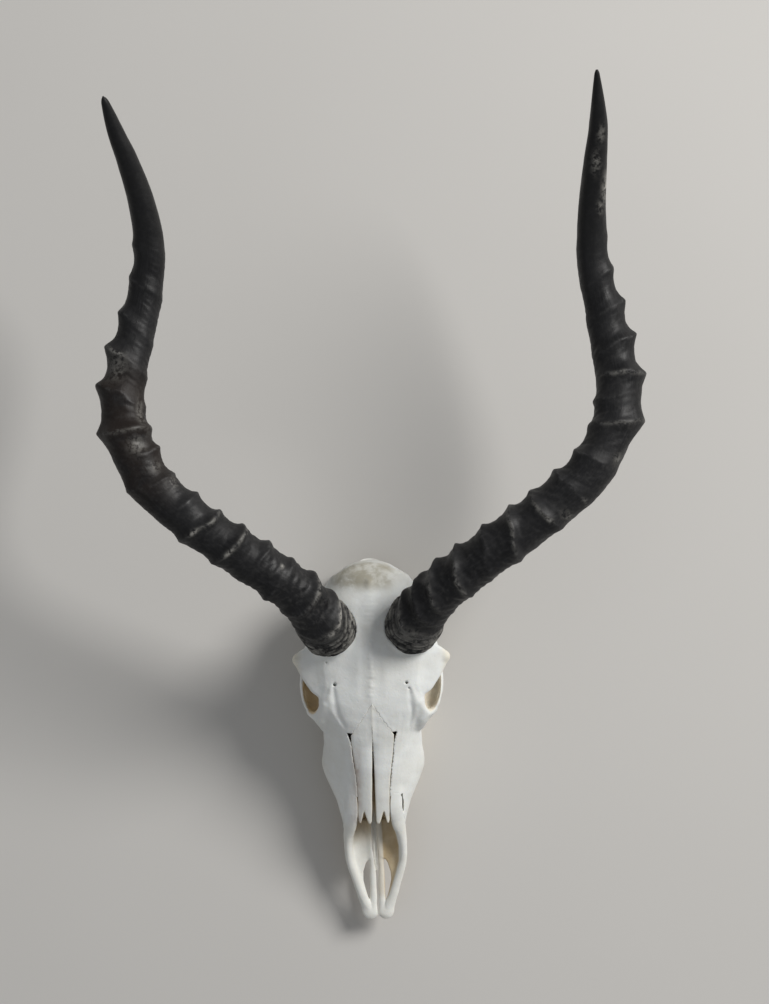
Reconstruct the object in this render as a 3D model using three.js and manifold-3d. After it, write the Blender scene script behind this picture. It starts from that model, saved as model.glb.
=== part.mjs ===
// Impala skull without its lower jaw, with both horns, resting on its cheek teeth and the back of the head.
// Units are millimetres. +Y runs from the nose to the horn tips and +Z is up. +X is the right-hand side as
// seen from above with the nose toward the viewer, so the names left and right are the viewer's, and the
// piece named right is on the animal's own left. The shapes are drawn with the floor at z = 0 and y = 0
// midway between the horn bases, and the finished group is moved at the end so that its box is centred over
// the origin.
import * as THREE from "three";
import { LoftGeometry } from "three/addons/geometries/LoftGeometry.js";
import { mergeVertices } from "three/addons/utils/BufferGeometryUtils.js";
import Module from "manifold-3d";

const wasm = await Module();
wasm.setup();

// ---------- driving sizes ----------
const GAP = 0.3; // clear space between pieces that touch
const ALVEOLAR_Z = 15; // height of the bone edge that the cheek teeth stand in
const NASAL_TIP_Y = -156; // front end of the nasal bones
const NASAL_THICK = 3;

// ---------- materials ----------
const bone = () => new THREE.MeshStandardMaterial({ color: 0xe3e1d6, roughness: 0.75, metalness: 0 });
const toothEnamel = () => new THREE.MeshStandardMaterial({ color: 0xd8cfb4, roughness: 0.35, metalness: 0 });
const hornKeratin = () => new THREE.MeshStandardMaterial({ color: 0x1e1c1b, roughness: 0.5, metalness: 0 });

// ---------- helpers ----------
const vec = (x, y, z) => new THREE.Vector3(x, y, z);

// A closed solid from a closed three.js geometry.
function solid(geometry) {
  const plain = new THREE.BufferGeometry();
  plain.setAttribute("position", geometry.attributes.position);
  plain.setIndex(geometry.index);
  const merged = mergeVertices(plain, 1e-4);
  const index = merged.index.array;
  const position = merged.attributes.position;
  const kept = [];
  let volume = 0;
  for (let i = 0; i < index.length; i += 3) {
    const [a, b, c] = [index[i], index[i + 1], index[i + 2]];
    if (a === b || b === c || a === c) {
      continue;
    }
    kept.push(a, b, c);
    const [p, q, r] = [a, b, c].map((k) => new THREE.Vector3().fromBufferAttribute(position, k));
    volume += p.dot(q.cross(r));
  }
  if (volume < 0) {
    kept.reverse();
  }
  const mesh = new wasm.Mesh({
    numProp: 3,
    vertProperties: new Float32Array(position.array),
    triVerts: new Uint32Array(kept),
  });
  return new wasm.Manifold(mesh);
}

// A three.js mesh from a solid.
function meshOf(shape, name, material) {
  const made = shape.getMesh();
  const geometry = new THREE.BufferGeometry();
  geometry.setAttribute("position", new THREE.BufferAttribute(new Float32Array(made.vertProperties), 3));
  geometry.setIndex(new THREE.BufferAttribute(new Uint32Array(made.triVerts), 1));
  geometry.computeVertexNormals();
  const mesh = new THREE.Mesh(geometry, material);
  mesh.name = name;
  return mesh;
}

const mirrored = (shape) => shape.mirror([1, 0, 0]);
const both = (shape) => shape.add(mirrored(shape));

// A capped solid through closed rings of points, whichever way round the rings are drawn.
function loft(rings) {
  const [first, next] = rings;
  const along = next[0].clone().sub(first[0]);
  const area = vec(0, 0, 0);
  first.forEach((p, i) => {
    const q = first[(i + 1) % first.length];
    area.add(p.clone().sub(first[0]).cross(q.clone().sub(first[0])));
  });
  const drawn = area.dot(along) < 0 ? rings.map((ring) => ring.slice().reverse()) : rings;
  return solid(new LoftGeometry(drawn, { closed: true, capStart: true, capEnd: true }));
}

function ellipsoid(centre, radii, around) {
  const geometry = new THREE.SphereGeometry(1, around, Math.round(around * 0.6));
  geometry.scale(...radii);
  geometry.translate(...centre);
  return solid(geometry);
}

// Values between rows of numbers, read by the first number of each row.
function rowAt(rows, key) {
  let i = 0;
  while (i < rows.length - 2 && key > rows[i + 1][0]) {
    i += 1;
  }
  const t = THREE.MathUtils.clamp((key - rows[i][0]) / (rows[i + 1][0] - rows[i][0]), 0, 1);
  return rows[i].map((value, k) => value + (rows[i + 1][k] - value) * t);
}

// A left-right symmetric ring across the head at one y, from the outline of its +X half.
function headRing(y, half, pointsPerHalf) {
  const curve = new THREE.CatmullRomCurve3(half.map(([x, z]) => vec(x, y, z)), false, "centripetal");
  const points = [];
  for (let i = 0; i <= pointsPerHalf; i += 1) {
    const point = curve.getPointAt(i / pointsPerHalf);
    point.y = y;
    points.push(point);
  }
  points[0].x = 0;
  points[pointsPerHalf].x = 0;
  const other = points.slice(1, -1).reverse().map((p) => vec(-p.x, y, p.z));
  return points.concat(other);
}

// A rod along a path. Each path row is [x, y, z, half width, half height]; up sets the height direction.
function rod(rows, up, around, steps) {
  const curve = new THREE.CatmullRomCurve3(rows.map(([x, y, z]) => vec(x, y, z)), false, "centripetal");
  const rings = [];
  for (let i = 0; i <= steps; i += 1) {
    const t = i / steps;
    const centre = curve.getPoint(t);
    const tangent = curve.getTangent(t);
    const side = new THREE.Vector3().crossVectors(tangent, up).normalize();
    const rise = new THREE.Vector3().crossVectors(side, tangent).normalize();
    const spread = rowAt(rows.map((row, k) => [k / (rows.length - 1), row[3], row[4]]), t);
    const ring = [];
    for (let j = 0; j < around; j += 1) {
      const turn = (j / around) * Math.PI * 2;
      const point = centre.clone();
      point.addScaledVector(side, spread[1] * Math.cos(turn));
      point.addScaledVector(rise, spread[2] * Math.sin(turn));
      ring.push(point);
    }
    rings.push(ring);
  }
  return loft(rings);
}

// ---------- horns ----------
const HORN_SEGMENTS = 12;
const COLLAR_STATIONS = [0, 4, 12, 20]; // distances along the wrinkled collar at the base
const COLLAR_RIPPLES = [-1.2, 0.5, -0.3, 0.5]; // how far each stands proud
const LONG_SPAN = 25; // rings farther apart than this have a flat stretch between them
const FLAT_STRETCH = [0.3, 0.72]; // where that stretch starts and ends, as shares of the way
const SHORT_VALLEY = [0.5]; // rings closer together have a plain valley halfway
const TIP_STEP = 18; // spacing of the sections on the smooth tip
const TIP_ENDS = [6, 2, 0]; // last sections, measured back from the point

// radius: [distance from the base, radius between the rings].
// rings: [distance on the inner face, distance on the outer face, height inside, height outside, how far the
// front sags toward the base, share of the height that goes round the front].
const HORNS = [
  {
    name: "horn_left",
    path: [
      [-31, -2, 90], [-39, 10, 114], [-55, 30, 129], [-93, 59, 144], [-131, 86.5, 153], [-165.7, 122.2, 156],
      [-180.7, 165.6, 153.5], [-179, 195.3, 149], [-165.3, 249.4, 144.5], [-158.5, 286.3, 149],
      [-161.6, 321.7, 162], [-170.6, 355.6, 181], [-177, 373.3, 192], [-184.6, 399, 208.8],
    ],
    radius: [
      [0, 20.6], [22, 20.8], [34, 18.8], [50, 17.7], [110, 17], [134, 16.4], [212, 16.3], [256, 16],
      [280, 14.8], [316, 14], [344, 12.8], [364, 11.8], [398, 11], [420, 9.9], [444, 8.6], [470, 6.8],
      [490, 4.9], [503, 3], [508, 0.8],
    ],
    rings: [
      [39, 37, 3.9, 1.4, 9, 1], [59, 56, 4.6, 1.4, 5, 1], [77, 79, 3.2, 3, 0, 0.1],
      [99, 104, 4.6, 0.8, 0, 0.1], [122, 127, 4.6, 1.8, 0, 0.9], [144, 156, 4.8, 2.6, 0, 0.8],
      [167, 176, 4.2, 0.4, 0, 0.25],
      [192, 204, 4, 3.4, 0, 0.1], [220, 222, 4.4, 0.4, 0, 0.15], [240, 244, 3.6, 7.4, 0, 1],
      [261, 274, 2, 8, 0, 0.25], [286, 303, 2, 7, 0, 0.2], [313, 331, 1, 5.6, 0, 0.2],
      [348, 359, 1.5, 3.2, 0, 0.2], [378, 386, 0.3, 2.2, 0, 0.2],
    ],
  },
  {
    name: "horn_right",
    path: [
      [30.5, -1.3, 90], [38, 10.4, 114], [55, 30, 132], [94.5, 59.5, 148], [131.6, 85.6, 155.5],
      [167.3, 116.3, 158.5], [188.2, 155.8, 156], [190.2, 185, 152], [183, 230, 147.5], [174.6, 273, 151],
      [173.8, 311, 163.5], [175.8, 346, 182.5], [177.4, 370, 197], [175.5, 407, 220.5],
    ],
    radius: [
      [0, 20.6], [22, 20.8], [34, 18.3], [50, 17.6], [126, 17.6], [192, 16.9], [222, 16.2], [264, 16.4],
      [295, 15.4], [327, 13.9], [350, 12.6], [381, 11.4], [400, 10.9], [420, 10], [444, 8.9], [470, 7.4],
      [490, 5.7], [510, 3.2], [519, 1.9], [523, 0.8],
    ],
    rings: [
      [39, 36, 4.6, 1, 8, 1], [54, 44, 4.4, 0.6, 7, 1], [71, 53, 4.8, 1, 3, 0.9], [90, 76, 4.6, 1.6, 0, 0.9],
      [117, 96, 3.7, 0.8, 0, 0.25], [140, 124, 4.8, 2, 0, 0.8], [160, 162, 3.6, 1.8, 0, 0.8],
      [185, 188, 4.6, 0.5, 0, 0.2], [213, 212, 4.2, 0.8, 0, 0.35], [237, 253, 2.4, 6, 0, 0.8],
      [262, 268, 3.4, 0.3, 0, 0.4], [284, 282, 0.4, 7.4, 0, 0.9], [300, 310, 1, 7, 0, 0.3],
      [326, 337, 0.7, 5.2, 0, 0.35], [354, 364, 0.7, 3.2, 0, 0.3], [381, 390, 0.4, 0.9, 0, 0.2],
    ],
  },
];

const hornCurve = (path) => new THREE.CatmullRomCurve3(path.map((p) => vec(...p)), false, "centripetal");

// How much of a ring's height shows at one turn around the horn, for a knob that stands where side is 1.
const knobShare = (side, share) => (0.5 + 0.5 * side) ** (2.6 - 1.9 * share);

// The sections of one horn: where each crosses the inner and the outer face, and how far it stands proud.
function hornStations(rings, length) {
  const stations = COLLAR_STATIONS.map((at, i) => {
    const lift = () => COLLAR_RIPPLES[i];
    return { inner: at, outer: at, sag: 0, lift };
  });
  rings.forEach(([inner, outer, highIn, highOut, sag, share], i) => {
    const lift = (cos) => highIn * knobShare(-cos, share) + highOut * knobShare(cos, share);
    stations.push({ inner, outer, sag, lift });
    const next = rings[i + 1];
    if (!next) {
      return;
    }
    const between = (t) => {
      const [low, high, , , nextSag] = next;
      const { lerp } = THREE.MathUtils;
      const lift = () => 0;
      return { inner: lerp(inner, low, t), outer: lerp(outer, high, t), sag: lerp(sag, nextSag, t), lift };
    };
    const far = next[0] + next[1] - inner - outer > 2 * LONG_SPAN;
    const shares = far ? FLAT_STRETCH : SHORT_VALLEY;
    shares.forEach((share) => stations.push(between(share)));
  });
  const flat = (at) => ({ inner: at, outer: at, sag: 0, lift: () => 0 });
  const [lastIn, lastOut] = rings[rings.length - 1];
  for (let at = Math.max(lastIn, lastOut) + TIP_STEP; at < length - TIP_STEP; at += TIP_STEP) {
    stations.push(flat(at));
  }
  TIP_ENDS.forEach((back) => stations.push(flat(length - back)));
  return stations;
}

function hornSolid({ path, radius, rings }) {
  const curve = hornCurve(path);
  const length = curve.getLength();
  const sideSign = Math.sign(path[0][0]);
  const sections = hornStations(rings, length).map(({ inner, outer, sag, lift }) => {
    const section = [];
    for (let j = 0; j < HORN_SEGMENTS; j += 1) {
      const turn = (j / HORN_SEGMENTS) * Math.PI * 2;
      const cos = Math.cos(turn);
      const front = Math.max(0, Math.sin(turn)) ** 1.5;
      const at = (inner + outer) / 2 + ((outer - inner) / 2) * cos - sag * front;
      const t = THREE.MathUtils.clamp(at / length, 0, 1);
      const tangent = curve.getTangentAt(t);
      const outward = new THREE.Vector3().crossVectors(tangent, vec(0, 0, 1)).normalize();
      outward.multiplyScalar(sideSign);
      const forward = new THREE.Vector3().crossVectors(outward, tangent).normalize();
      forward.multiplyScalar(Math.sign(forward.z) || 1);
      const reach = rowAt(radius, at)[1] + lift(cos);
      const point = curve.getPointAt(t);
      point.addScaledVector(outward, reach * cos);
      point.addScaledVector(forward, reach * Math.sin(turn));
      section.push(point);
    }
    return section;
  });
  return loft(sections);
}

// ---------- skull: facial part ----------
// Half outlines [x, z] from the midline of the roof, down the cheek, under the tooth sockets and back to
// the midline of the palate. Keys: y position.
const FACE = [
  [-159, [[0, 49.5], [11.5, 48], [19, 43], [24, 35], [23.5, 26], [20, 22], [14, 20.5], [7, 20.5], [0, 21]]],
  [-141, [[0, 57.5], [12.5, 55.3], [20, 50], [28, 38], [28, 27], [25, 17], [19, 15.3], [14, 20.5], [0, 22.5]]],
  [-125, [[0, 64], [13.3, 61], [24, 53], [34.5, 38], [35, 27], [31, 15.5], [21, 15.3], [16, 22], [0, 24.5]]],
  [-110, [[0, 70.5], [15, 67.3], [28, 55], [39.5, 39], [41, 30], [35, 15.5], [22, 15.3], [17.5, 23], [0, 26]]],
  [-93, [[0, 77], [17.3, 73.5], [30, 61], [37.8, 46], [38.8, 34], [36.5, 15.5], [23.5, 15.3], [19, 24], [0, 27]]],
  [-80, [[0, 82.5], [19, 79.5], [33, 66], [38, 54], [38.5, 40], [37, 15.5], [24.5, 15.3], [20, 25], [0, 28]]],
  [-68, [[0, 87.5], [22, 85], [35, 77.5], [39, 64], [38, 48], [36, 16.5], [25, 15.5], [20, 26], [0, 29]]],
  [-57, [[0, 91.5], [24, 89], [36, 82], [36, 68], [32, 55], [28, 35], [22, 29], [13, 33], [0, 36]]],
];
const FACE_HALF_POINTS = 9;

// ---------- skull: roof and side walls between the eyes and under the horns ----------
const CRANIUM = [
  [-64, [[0, 88], [20, 86], [30, 80], [31, 68], [27, 56], [20, 44], [0, 40]]],
  [-44, [[0, 95], [24, 92], [34, 84], [30, 72], [24, 58], [17, 44], [0, 40]]],
  [-20, [[0, 100], [26, 97], [42, 86], [34, 72], [26, 56], [16, 42], [0, 38]]],
  [2, [[0, 99], [28, 97], [40, 84], [36, 68], [28, 50], [15, 38], [0, 34]]],
  [22, [[0, 92], [20, 89], [33, 76], [34, 60], [27, 44], [14, 34], [0, 31]]],
];
const CRANIUM_HALF_POINTS = 8;

// The bony shelf over each eye, drawn as sections along X:
// [x, y of its front edge, y of its rear edge, middle height, half thickness].
const BROW = [
  [18, -76, 6, 86, 7],
  [32, -64, 2, 85, 6.5],
  [40, -55, -8, 84, 5],
  [47, -48.5, -12, 83, 4],
  [54, -38, -15, 81.5, 3],
  [58.5, -30, -18, 80.5, 2.2],
  [60.8, -25, -21, 80, 1],
];
const BROW_POINTS = 10;

function browSolid() {
  const rings = BROW.map(([x, front, rear, z, half]) => {
    const ring = [];
    for (let j = 0; j < BROW_POINTS; j += 1) {
      const turn = (j / BROW_POINTS) * Math.PI * 2;
      const y = (front + rear) / 2 + ((rear - front) / 2) * Math.cos(turn);
      ring.push(vec(x, y, z + half * Math.sin(turn)));
    }
    return ring;
  });
  return loft(rings);
}

// Rim under the eye, cheek arch and the bar behind the eye: [x, y, z, half width, half height].
const CHEEK_ARCH = [
  [33, -79, 57, 3, 8.5], [43, -70.3, 60, 2, 8], [49.3, -65, 60, 1.8, 7], [52.7, -58, 58.5, 1.6, 6.5],
  [54.5, -49, 57, 1.6, 6], [54.2, -36, 54.5, 1.9, 6.3], [51.5, -20, 52.3, 2.2, 5.5], [46, -4, 51, 2.4, 5],
  [40, 8, 50, 3.5, 5], [30, 16, 48, 5, 6],
];
const EYE_BAR = [
  [57, -23.5, 82, 3.4, 3], [57.5, -25.5, 73, 2.6, 2.4], [56, -28, 65, 2.5, 2.3], [53.5, -30, 54, 3, 2.8],
];
const EYE_FRONT_RIM = [
  [35, -56, 84, 2.6, 3], [40.2, -64.3, 77, 2.2, 2.2], [44.5, -67.8, 70, 2, 2], [48.5, -66, 61, 2, 2],
];

// The short round stub of the head that each horn stands on.
const STUB_RADIUS = 20.5;
const STUB_FLARE = 3; // how much wider the stub is at its foot
const STUB_DEPTH = 22;
const STUB_SIDES = 12;
const CLEARANCE_EXTRA_RADIUS = 3;
const CLEARANCE_REACH = 60;

function hornStub({ path }) {
  const geometry = new THREE.CylinderGeometry(STUB_RADIUS, STUB_RADIUS + STUB_FLARE, STUB_DEPTH, STUB_SIDES);
  geometry.translate(0, -STUB_DEPTH / 2 - GAP, 0);
  return alongHornBase(geometry, path);
}

// Everything on the horn's side of its base plane is kept clear of bone.
function hornClearance({ path }) {
  const radius = STUB_RADIUS + CLEARANCE_EXTRA_RADIUS;
  const geometry = new THREE.CylinderGeometry(radius, radius, CLEARANCE_REACH, STUB_SIDES);
  geometry.translate(0, CLEARANCE_REACH / 2 - GAP, 0);
  return alongHornBase(geometry, path);
}

// Turns a shape drawn up the Y axis into line with the start of a horn.
function alongHornBase(geometry, path) {
  const axis = hornCurve(path).getTangentAt(0);
  geometry.applyQuaternion(new THREE.Quaternion().setFromUnitVectors(vec(0, 1, 0), axis));
  geometry.translate(...path[0]);
  return solid(geometry);
}

// ---------- nasal bones ----------
// [y, inner edge x, outer edge x, height at the midline, fall toward the outer edge]
const NASAL = [
  [-58.5, 0.3, 2, 91, 0],
  [-70, 0.3, 8.3, 86.7, 0.4],
  [-84, 0.3, 16.8, 80.9, 2.4],
  [-103, 0.3, 15.2, 73.2, 3],
  [-120, 0.8, 13.2, 66.2, 2.5],
  [-140, 1.3, 12.5, 57.9, 2.2],
  [-156, 1.6, 12, 51.2, 2.1],
];
const NASAL_SPANS = 3;
const SEAT_HEADROOM = 6; // the seat is open this far above the bone
const SEAT_OVERRUN = 8; // and this far in front of it
const NOTCH_LOW_Z = 35;
const NOTCH_DEPTH = 30;

// One nasal plate; grow makes it larger on every side for cutting its seat.
function nasalSolid(grow, extraTop) {
  const rings = NASAL.map(([y, inner, outer, height, fall], i) => {
    const yEnd = i === 0 ? y + grow : y;
    const top = [];
    const under = [];
    for (let j = 0; j <= NASAL_SPANS; j += 1) {
      const t = j / NASAL_SPANS;
      const x = THREE.MathUtils.lerp(inner - grow * 1.5, outer + grow, t);
      const z = height - fall * t * t;
      top.push(vec(x, yEnd, z + extraTop));
      under.unshift(vec(x, yEnd, z - NASAL_THICK - grow));
    }
    return top.concat(under);
  });
  if (grow > 0) {
    const last = rings[rings.length - 1].map((p) => vec(p.x, p.y - SEAT_OVERRUN, p.z));
    rings.push(last);
  }
  return loft(rings);
}

// The front edge of each nasal bone is cut by a notch into two points.
function nasalNotch() {
  const wedge = new THREE.Shape([
    new THREE.Vector2(7.7, NASAL_TIP_Y + 11),
    new THREE.Vector2(4.6, NASAL_TIP_Y - 1),
    new THREE.Vector2(10.6, NASAL_TIP_Y - 1),
  ]);
  const geometry = new THREE.ExtrudeGeometry(wedge, { depth: NOTCH_DEPTH, bevelEnabled: false });
  geometry.translate(0, 0, NOTCH_LOW_Z);
  return solid(geometry);
}

// ---------- nasal passage and other hollows of the skull ----------
// [y, half width, floor height, ceiling height]
const PASSAGE = [
  [-165, 19, 25, 70],
  [-150, 18.5, 25, 52],
  [-135, 16, 26, 55],
  [-115, 14, 28, 62],
  [-95, 12, 31, 68],
  [-78, 8, 36, 70],
];
const PASSAGE_POINTS = 10;

function passageSolid() {
  const rings = PASSAGE.map(([y, half, floor, ceiling]) => {
    const ring = [];
    for (let j = 0; j < PASSAGE_POINTS; j += 1) {
      const turn = ((j + 0.5) / PASSAGE_POINTS) * Math.PI * 2;
      const z = (floor + ceiling) / 2 + ((ceiling - floor) / 2) * Math.sin(turn);
      ring.push(vec(half * Math.cos(turn), y, z));
    }
    return ring;
  });
  return loft(rings);
}

// The roof of the nose ends here, and the front parts of the nasal bones stand free over the passage.
// [y, half width, lowest height, greatest height]
const OPEN_NOSE = [
  [-170, 14.5, 36, 70],
  [-134, 13.5, 46, 80],
];

function openNoseSolid() {
  const rings = OPEN_NOSE.map(([y, half, low, high]) => [
    vec(half, y, low), vec(half, y, high), vec(-half, y, high), vec(-half, y, low),
  ]);
  return loft(rings);
}

// ---------- premaxillae ----------
const PREMAXILLA_BRANCH = [
  [16.5, -122, 59.5, 1.6, 1.8], [17.3, -138, 53, 4.2, 2.4], [18.3, -152, 45.8, 5, 3],
  [20.9, -166, 35.6, 4.2, 3.7], [21.6, -176, 31, 3.4, 3.8], [20.9, -188, 27.5, 3.2, 3.3],
  [16.6, -203, 24.2, 3.4, 3], [12.2, -217, 21.6, 3.6, 2.7], [8.4, -227, 20, 4.4, 2.4],
  [6.4, -235.4, 19.2, 2, 1.4],
];
const PALATINE_BAR = [
  [3.4, -142, 28.5, 1.3, 1.5], [3.9, -172, 23.6, 1.9, 2], [3.9, -200, 21.3, 1.9, 2],
  [3.3, -212, 20.4, 2.7, 2], [4, -232, 19.2, 3, 2],
];
const PREMAXILLA_SHELF = [
  [14, -150, 27.5, 7, 1.2], [14, -168, 26, 8, 1.2], [14.5, -185, 24, 6.5, 1.2], [14, -204, 23, 2.6, 1.2],
];

// One premaxilla; grow makes it larger on every side for cutting its seat.
function premaxillaSolid(grow) {
  const grown = (rows) => rows.map(([x, y, z, width, height]) => [x, y, z, width + grow, height + grow]);
  const up = vec(0, 0, 1);
  const branch = rod(grown(PREMAXILLA_BRANCH), up, 8, 11);
  const bar = rod(grown(PALATINE_BAR), up, 6, 5);
  const shelf = rod(grown(PREMAXILLA_SHELF), up, 6, 3);
  return branch.add(bar).add(shelf);
}

// ---------- vomer ----------
// A thin trough along the middle of the nasal passage: [y, half width, floor height, rim height]
const VOMER = [
  [-90, 1.5, 32.7, 46],
  [-120, 1.5, 30.8, 39],
  [-140, 1.1, 27.2, 32],
  [-165, 0.7, 23, 25.3],
  [-198, 0.6, 20.5, 22],
];

const VOMER_WALL = 0.8;
const VOMER_BOTTOM = 1.1; // thickness at the bottom of the trough

const VOMER_KEEL_SHARE = 0.6; // width of its underside as a share of the trough's width

function vomerSolid() {
  const rings = VOMER.map(([y, half, floor, rim]) => [
    vec(half + VOMER_WALL, y, rim),
    vec(half, y, rim),
    vec(half * 0.5, y, floor + VOMER_BOTTOM),
    vec(-half * 0.5, y, floor + VOMER_BOTTOM),
    vec(-half, y, rim),
    vec(-half - VOMER_WALL, y, rim),
    vec(-half * VOMER_KEEL_SHARE, y, floor),
    vec(half * VOMER_KEEL_SHARE, y, floor),
  ]);
  return loft(rings);
}

function vomerSeat() {
  const rings = VOMER.map(([y, half, floor, rim]) => {
    const wide = half + VOMER_WALL + GAP;
    const narrow = half * VOMER_KEEL_SHARE + GAP;
    const high = rim + GAP;
    const low = floor - GAP;
    return [vec(wide, y, high), vec(-wide, y, high), vec(-narrow, y, low), vec(narrow, y, low)];
  });
  return loft(rings);
}

// ---------- cheek teeth ----------
// [name, length along the row, width across the row, x of its middle]
const TEETH = [
  ["premolar_2", 8, 7, 22],
  ["premolar_3", 10, 9, 24],
  ["premolar_4", 10, 11, 26],
  ["molar_1", 14, 13, 27.6],
  ["molar_2", 16, 14, 29],
  ["molar_3", 16, 13, 30],
];
const TOOTH_ROW_FRONT_Y = -140;
const TOOTH_GAP = 0.5;

const TOOTH_CORNERS = 8;
const TOOTH_SQUARENESS = 0.7; // 0 is an oval crown, 1 is a rectangular one
const TOOTH_ROOT_DEPTH = 3; // how far a crown goes up into its socket

// Share of the full length and width of a crown, by height: [z, length share, width share]
const CROWN = [
  [0, 0.88, 0.8],
  [2.2, 1.04, 1.04],
  [9, 1.04, 1],
  [ALVEOLAR_Z + TOOTH_ROOT_DEPTH, 0.9, 0.8],
];

// One tooth; grow makes it larger on every side for cutting its socket.
function toothSolid({ length, width, x, y }, grow) {
  const rings = CROWN.map(([z, along, across], i) => {
    const ring = [];
    for (let j = 0; j < TOOTH_CORNERS; j += 1) {
      const turn = ((j + 0.5) / TOOTH_CORNERS) * Math.PI * 2;
      const flat = Math.max(Math.abs(Math.cos(turn)), Math.abs(Math.sin(turn)));
      const square = 1 / flat ** TOOTH_SQUARENESS;
      const right = ((width / 2) * across + grow) * square * Math.cos(turn);
      const back = ((length / 2) * along + grow) * square * Math.sin(turn);
      ring.push(vec(x + right, y + back, i === CROWN.length - 1 ? z + grow : z));
    }
    return ring;
  });
  return loft(rings);
}

// Every upper tooth of the +X side, from the front of the row to its back.
function toothRow() {
  let front = TOOTH_ROW_FRONT_Y;
  return TEETH.map(([name, length, width, x]) => {
    const y = front + length / 2;
    front += length + TOOTH_GAP;
    return { name, length, width, x, y };
  });
}

// ---------- back of the skull ----------
const BRAINCASE = { centre: [0, 14, 58], radii: [37, 38.5, 35] };
const CONDYLE = { centre: [12.5, 40.5, 27], radii: [8, 8.5, 11.5] };
const BULLA = { centre: [19, 10, 26], radii: [7.5, 11, 10] };
const PARA_OCCIPITAL = [
  [25, 28, 44, 9, 6], [26, 33, 28, 6, 4], [26, 37.5, 13, 4, 3.2], [24, 40.6, 0.76, 2.8, 2.6],
];
const SKULL_BASE = [
  [0, -60, 38, 9, 4], [0, -30, 35, 9, 5], [0, 0, 31, 11, 7], [0, 28, 29, 14, 9], [0, 42, 31, 15, 11],
];
const PTERYGOID = [
  [12, -62, 31, 2, 6], [10.5, -50, 30, 1.6, 8], [10, -36, 33, 1.6, 7], [10, -24, 35, 1.6, 5],
];

const EYE_SOCKET = { centre: [53, -47, 64.5], radii: [22, 20, 17] };
const TEAR_BULLA = { centre: [42, -49, 44.5], radii: [13, 19, 8.5] }; // swollen floor of the eye socket
const BRAIN_HOLLOW = { centre: [0, 12, 62], radii: [26, 27, 22] };
const SPINAL_CORD_HOLE = [
  [0, 62, 33, 8, 8], [0, 44, 37, 8, 8], [0, 22, 50, 8, 9],
];
// From behind the palate up into the nasal passage.
const THROAT_PASSAGE = [
  [0, -45, 24, 8, 7], [0, -62, 33, 8, 6], [0, -84, 42, 7, 6],
];

function skullSolid() {
  const up = vec(0, 0, 1);
  const face = loft(FACE.map(([y, half]) => headRing(y, half, FACE_HALF_POINTS)));
  const cranium = loft(CRANIUM.map(([y, half]) => headRing(y, half, CRANIUM_HALF_POINTS)));
  let skull = face.add(cranium);
  skull = skull.add(ellipsoid(BRAINCASE.centre, BRAINCASE.radii, 18));
  skull = skull.add(rod(SKULL_BASE, up, 8, 5));
  skull = skull.subtract(passageSolid()).subtract(openNoseSolid());
  skull = skull.add(both(browSolid()));
  skull = skull.subtract(both(ellipsoid(EYE_SOCKET.centre, EYE_SOCKET.radii, 14)));
  skull = skull.add(both(ellipsoid(TEAR_BULLA.centre, TEAR_BULLA.radii, 8)));
  skull = skull.add(both(rod(CHEEK_ARCH, up, 8, 10)));
  skull = skull.add(both(rod(EYE_BAR, vec(0, 1, 0), 6, 4)));
  skull = skull.add(both(rod(EYE_FRONT_RIM, vec(0, 1, 0), 6, 4)));
  for (const horn of HORNS) {
    skull = skull.add(hornStub(horn)).subtract(hornClearance(horn));
  }
  skull = skull.add(both(ellipsoid(CONDYLE.centre, CONDYLE.radii, 10)));
  skull = skull.add(both(ellipsoid(BULLA.centre, BULLA.radii, 10)));
  skull = skull.add(both(rod(PARA_OCCIPITAL, vec(0, 1, 0), 8, 4)));
  skull = skull.add(both(rod(PTERYGOID, up, 6, 4)));
  // The hole for the spinal cord opens into the hollow of the brain.
  skull = skull.subtract(ellipsoid(BRAIN_HOLLOW.centre, BRAIN_HOLLOW.radii, 12));
  skull = skull.subtract(rod(SPINAL_CORD_HOLE, up, 12, 3));
  skull = skull.subtract(rod(THROAT_PASSAGE, up, 10, 4));
  const nasalSeat = both(nasalSolid(GAP, SEAT_HEADROOM));
  const premaxillaSeat = both(premaxillaSolid(GAP));
  for (const tooth of toothRow()) {
    skull = skull.subtract(both(toothSolid(tooth, GAP)));
  }
  return skull.subtract(nasalSeat).subtract(premaxillaSeat).subtract(vomerSeat());
}

// ---------- assembly ----------
const skullGroup = new THREE.Group();
skullGroup.add(meshOf(skullSolid(), "skull", bone()));

const nasalRight = nasalSolid(0, 0).subtract(nasalNotch());
skullGroup.add(meshOf(nasalRight, "nasal_right", bone()));
skullGroup.add(meshOf(mirrored(nasalRight), "nasal_left", bone()));

skullGroup.add(meshOf(vomerSolid(), "vomer", bone()));

const premaxillaRight = premaxillaSolid(0);
skullGroup.add(meshOf(premaxillaRight, "premaxilla_right", bone()));
skullGroup.add(meshOf(mirrored(premaxillaRight), "premaxilla_left", bone()));

for (const tooth of toothRow()) {
  const shape = toothSolid(tooth, 0);
  skullGroup.add(meshOf(shape, `${tooth.name}_right`, toothEnamel()));
  skullGroup.add(meshOf(mirrored(shape), `${tooth.name}_left`, toothEnamel()));
}

for (const horn of HORNS) {
  skullGroup.add(meshOf(hornSolid(horn), horn.name, hornKeratin()));
}

const box = new THREE.Box3().setFromObject(skullGroup);
skullGroup.position.set(-(box.min.x + box.max.x) / 2, -(box.min.y + box.max.y) / 2, -box.min.z);

const impalaSkull = new THREE.Group();
impalaSkull.add(skullGroup);

export default impalaSkull;
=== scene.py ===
import itertools
import math

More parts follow.
